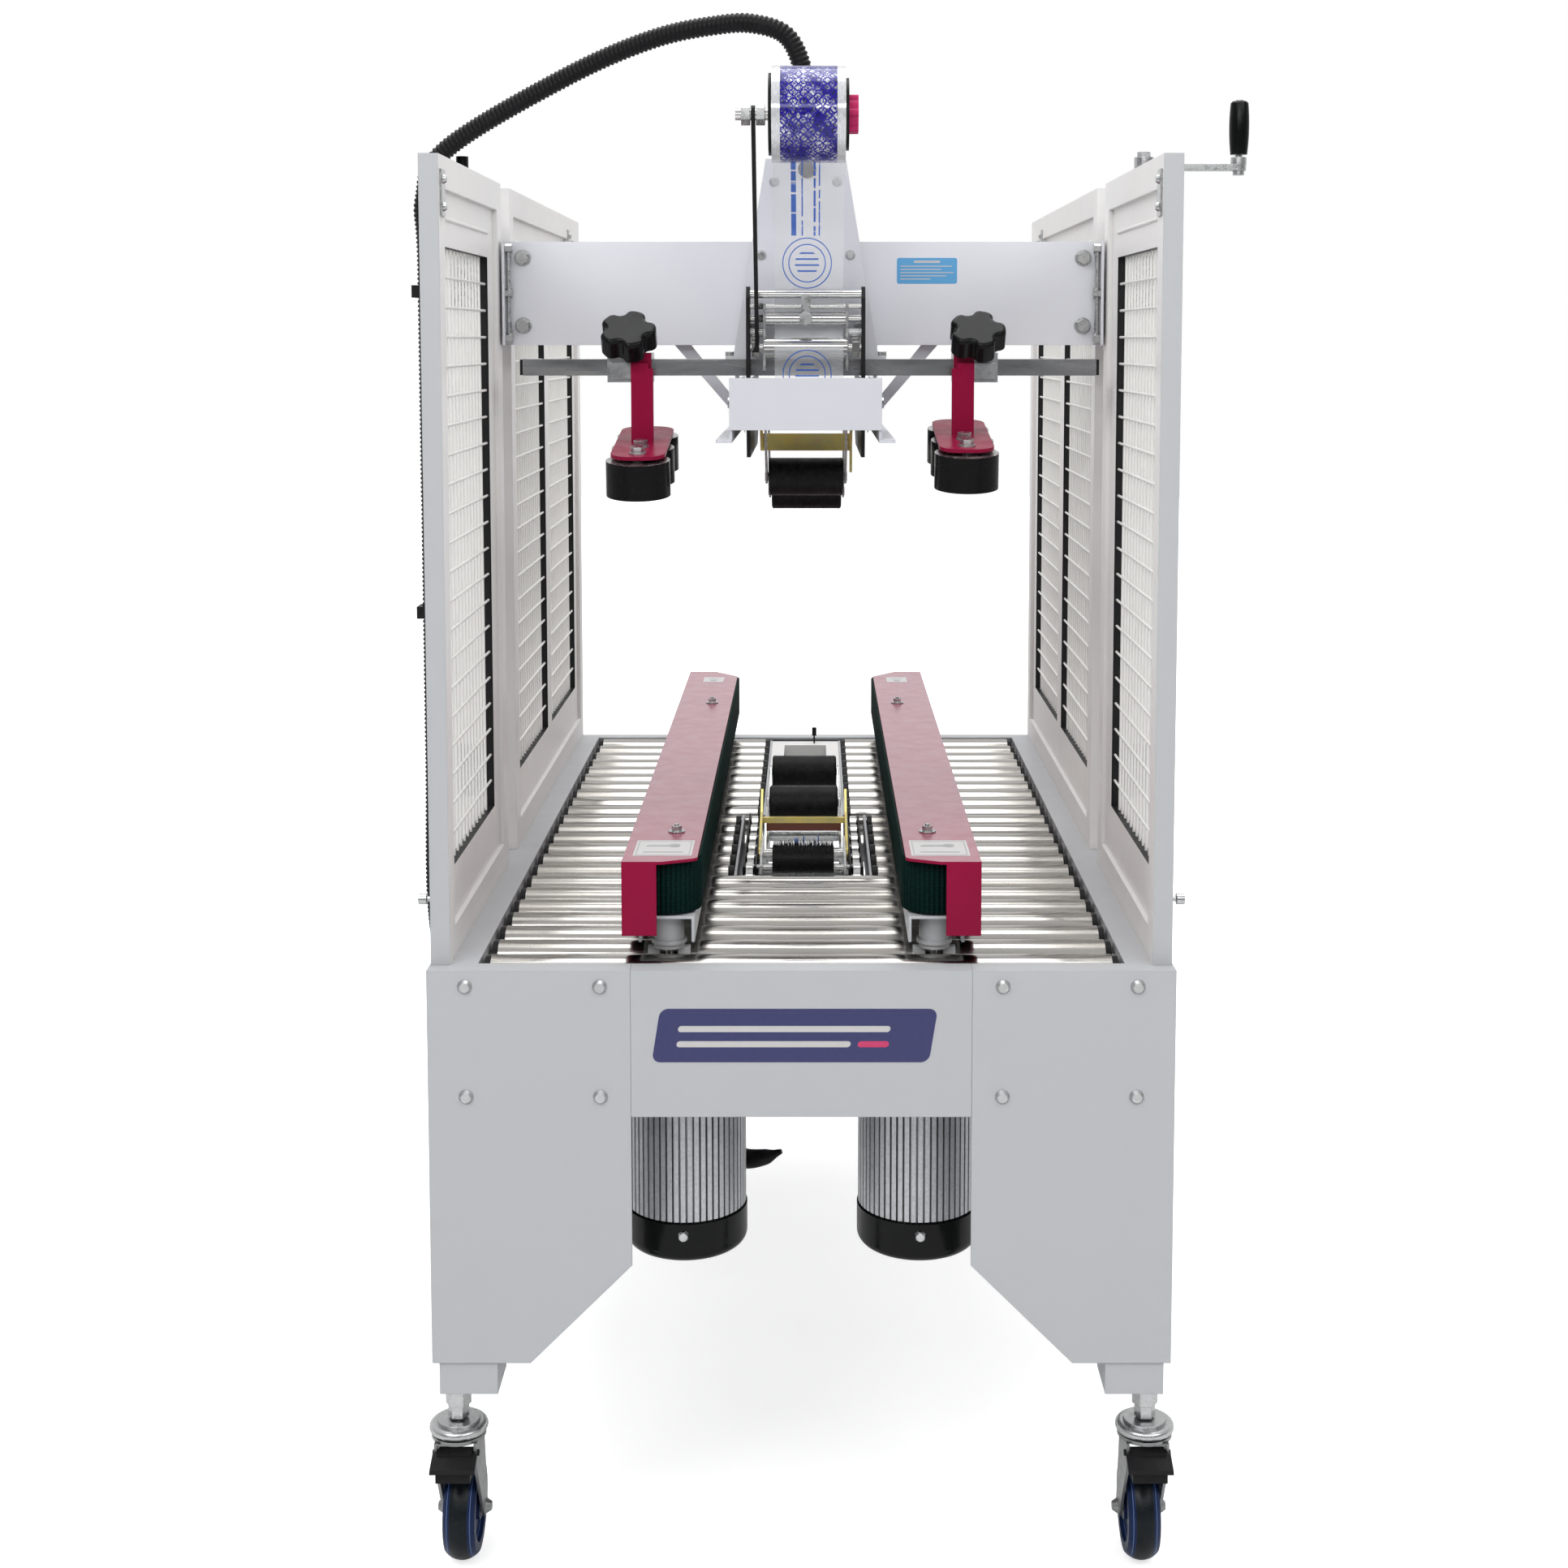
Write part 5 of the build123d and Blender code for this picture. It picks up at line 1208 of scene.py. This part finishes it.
# ---- labels ----
RIGHT, AWAY, UP = Vector((1, 0, 0)), Vector((0, 1, 0)), Vector((0, 0, 1))


def nameplate():
    """A slanted navy plate with two plain bars and a crimson dash."""
    centre = Vector((-6.5, -0.05, -64)) * MM
    width, height, slant = 268 * MM, 53 * MM, 0.16
    layers = [
        (rounded(width, height, 8 * MM, slant), 0, 0, 0, 0),
        (rounded(205 * MM, 6 * MM, 2.9 * MM, slant), -10 * MM, 6.5 * MM, PLY, 1),
        (rounded(168 * MM, 6 * MM, 2.9 * MM, slant), -30 * MM, -8.5 * MM, PLY, 1),
        (rounded(30 * MM, 6 * MM, 2.9 * MM, slant), 76 * MM, -8.5 * MM, PLY, 2),
    ]
    inks = [navy, label_white, label_crimson]
    made = label("nameplate", "frame", centre, RIGHT, UP, layers, inks)


def notice_label():
    """A blue notice on the crossbeam with rows of plain strokes."""
    centre = Vector((140, 409.95, 682.5)) * MM
    layers = [(rounded(68 * MM, 29 * MM, 2.5 * MM), 0, 0, 0, 0)]
    layers.append((rounded(30 * MM, 2.6 * MM, 1.2 * MM), 0, 10.2 * MM, PLY, 1))
    for row, length in enumerate((58, 46, 60, 52, 34)):
        stroke = rounded(length * MM, 1.0 * MM, 0.45 * MM)
        layers.append((stroke, (length - 60) * MM / 2, (5.2 - 3.6 * row) * MM, PLY, 1))
    made = label("notice_label", "carriage", centre, RIGHT, UP, layers, [label_blue, label_white])


def cover_labels():
    """A pale framed label near each cover's front end, and a small one near the rear."""
    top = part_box("belt_cover_right")[1].z
    frame_bars = ((0, 27.5, 53, 0.9), (0, -27.5, 53, 0.9), (-26.2, 0, 0.9, 55), (26.2, 0, 0.9, 55))
    for side, sign in SIDES.items():
        body = f"belt_unit_{side}"
        centre = Vector((sign * 137 * MM, 80.5 * MM, top + 0.02 * MM))
        layers = [
            (rounded(58 * MM, 63 * MM, 1.2 * MM), 0, 0, 0, 0),
            (rounded(30 * MM, 6 * MM, 2.6 * MM, 0.5), -3 * MM, 9 * MM, PLY, 1),
            (rounded(11 * MM, 12 * MM, 5.4 * MM), 10 * MM, 10 * MM, 0.26 * MM, 1),
            (rounded(40 * MM, 3.4 * MM, 1.5 * MM), 0, -17 * MM, PLY, 1),
        ]
        for u, v, width, height in frame_bars:
            bar = rounded(width * MM, height * MM, 0.3 * MM)
            layers.append((bar, u * MM, v * MM, PLY, 1))
        inks = [label_white, label_ink]
        made = label(f"cover_label_{side}", body, centre, RIGHT, AWAY, layers, inks)
        centre = Vector((sign * 136 * MM, 1120 * MM, top + 0.02 * MM))
        layers = [
            (rounded(30 * MM, 44 * MM, 1.2 * MM), 0, 0, 0, 0),
            (rounded(16 * MM, 3.2 * MM, 1.4 * MM), 0, 8 * MM, PLY, 1),
            (rounded(9 * MM, 12 * MM, 2.4 * MM), 0, -8 * MM, PLY, 1),
        ]
        made = label(f"rear_label_{side}", body, centre, RIGHT, AWAY, layers, inks)


nameplate()
notice_label()
cover_labels()


# ---- motor cable ----
def build_cable(bm):
    """The left motor's cable gland: a short bent tube, thick in the middle."""
    keys = mm_points(
        (-95, 195, -236), (-75, 195, -255), (-61, 192, -263), (-40, 188, -260), (-22, 184, -252)
    )
    points = curve_points(keys, 2 * MM)
    radii = []
    for index in range(len(points)):
        share = index / (len(points) - 1)
        swell = math.sin(math.pi * min(1.0, share * 1.1))
        radii.append((6.5 + 4 * swell - 20 * max(0.0, share - 0.8)) * MM)
    tube(bm, points, radii, 20)


cable = piece("motor_plug", build_cable, [black_cap], "belt_unit_left", 60)


# ---- stage ----
def floor_material():
    """A pale floor that brightens to plain white away from the machine, so no horizon shows."""
    g = Graph("floor", rough=0.7)
    tone = g.cloud((0.80, 0.80, 0.80), (0.77, 0.77, 0.775), (3, 4), 0.3, 0.7)
    g.set("Base Color", tone)
    g.bump(g.noise(120, 3), 0.1 * MM, 0.2)
    axes = g.axes()
    away = g.length(axes["X"], g.math("SUBTRACT", axes["Y"], 0.6))
    ray = g.nodes.new("ShaderNodeLightPath").outputs["Is Camera Ray"]
    glow = g.math("MULTIPLY", g.span(away, 0.4, 1.3, 0.5, 1.0), ray)
    g.set("Emission Color", (1.0, 1.0, 1.0))
    g.set("Emission Strength", glow)
    return g.material


def build_floor(bm):
    bmesh.ops.create_circle(bm, cap_ends=True, segments=96, radius=14)
    bmesh.ops.translate(bm, verts=bm.verts, vec=(0, 0.6, cad_box[0].z))


floor = piece("floor", build_floor, [floor_material()], None)


def area_light(name, place, aim, size, power):
    data = bpy.data.lights.new(name, "AREA")
    data.shape = "RECTANGLE"
    data.size, data.size_y = size
    data.energy = power
    lamp = bpy.data.objects.new(name, data)
    lamp.location = place
    lamp.rotation_euler = (Vector(aim) - Vector(place)).to_track_quat("-Z", "Y").to_euler()
    bpy.context.scene.collection.objects.link(lamp)


area_light("key", (-1.8, -2.6, 3.0), (0, 0.4, 0.6), (2.2, 1.6), 62)
area_light("fill", (2.2, -2.2, 2.4), (0, 0.5, 0.4), (2.0, 1.6), 34)
area_light("overhead", (0.0, 0.9, 3.2), (0, 0.7, 0), (3.0, 2.4), 62)
area_light("strip", (0.0, -2.4, 1.5), (0, 0.5, 0.4), (2.4, 0.35), 14)


# strengths of the room on the camera's side, behind the machine and above it
WORLD_FRONT = 0.16
WORLD_BACK = 0.85
WORLD_TOP = 0.75


def make_world():
    """A white studio: white to the camera, bright behind and above, dim on the camera's side."""
    world = bpy.data.worlds.new("studio")
    world.use_nodes = True
    nodes, links = world.node_tree.nodes, world.node_tree.links
    nodes.clear()

    def ramp(value, low, high, to_low, to_high):
        node = nodes.new("ShaderNodeMapRange")
        links.new(value, node.inputs["Value"])
        for name, number in zip(RANGE_INPUTS, (low, high, to_low, to_high)):
            node.inputs[name].default_value = number
        return node.outputs["Result"]

    coords = nodes.new("ShaderNodeTexCoord")
    split = nodes.new("ShaderNodeSeparateXYZ")
    links.new(coords.outputs["Generated"], split.inputs[0])
    depth = ramp(split.outputs["Y"], -0.7, 0.6, WORLD_FRONT, WORLD_BACK)
    zenith = ramp(split.outputs["Z"], 0.25, 0.95, 0.0, 1.0)
    blend = nodes.new("ShaderNodeMix")
    links.new(zenith, blend.inputs["Factor"])
    links.new(depth, blend.inputs["A"])
    blend.inputs["B"].default_value = WORLD_TOP
    room = nodes.new("ShaderNodeBackground")
    links.new(blend.outputs["Result"], room.inputs["Strength"])
    seen = nodes.new("ShaderNodeBackground")
    for background in (room, seen):
        background.inputs["Color"].default_value = (1, 1, 1, 1)
    ray = nodes.new("ShaderNodeLightPath")
    mix = nodes.new("ShaderNodeMixShader")
    links.new(ray.outputs["Is Camera Ray"], mix.inputs[0])
    links.new(room.outputs[0], mix.inputs[1])
    links.new(seen.outputs[0], mix.inputs[2])
    out = nodes.new("ShaderNodeOutputWorld")
    links.new(mix.outputs[0], out.inputs["Surface"])
    bpy.context.scene.world = world


make_world()
bpy.context.scene.view_settings.view_transform = "Standard"


# ---- camera ----
CAMERA_PLACE = (0.0105, -1.980, 0.606)
CAMERA_PITCH = 5.02
CAMERA_LENS = 48.3
CAMERA_SHIFT = {"shift_x": -0.018, "shift_y": -0.166}


def make_camera():
    """The photo's viewpoint. The lens shift holds only while the camera stands there."""
    data = bpy.data.cameras.new("camera")
    data.sensor_width = 36
    data.lens = CAMERA_LENS
    data.clip_start = 0.05
    camera = bpy.data.objects.new("camera", data)
    camera.location = CAMERA_PLACE
    camera.rotation_euler = (math.radians(90 - CAMERA_PITCH), 0, 0)
    bpy.context.scene.collection.objects.link(camera)
    bpy.context.scene.camera = camera
    for name, amount in CAMERA_SHIFT.items():
        driver = data.driver_add(name).driver
        driver.type = "SCRIPTED"
        place = driver.variables.new()
        place.name = "y"
        place.type = "TRANSFORMS"
        place.targets[0].id = camera
        place.targets[0].transform_type = "LOC_Y"
        place.targets[0].transform_space = "WORLD_SPACE"
        edge = CAMERA_PLACE[1] + 1 * MM
        driver.expression = f"{amount} if y < {edge} and y > {edge - 2 * MM} else 0.0"


make_camera()
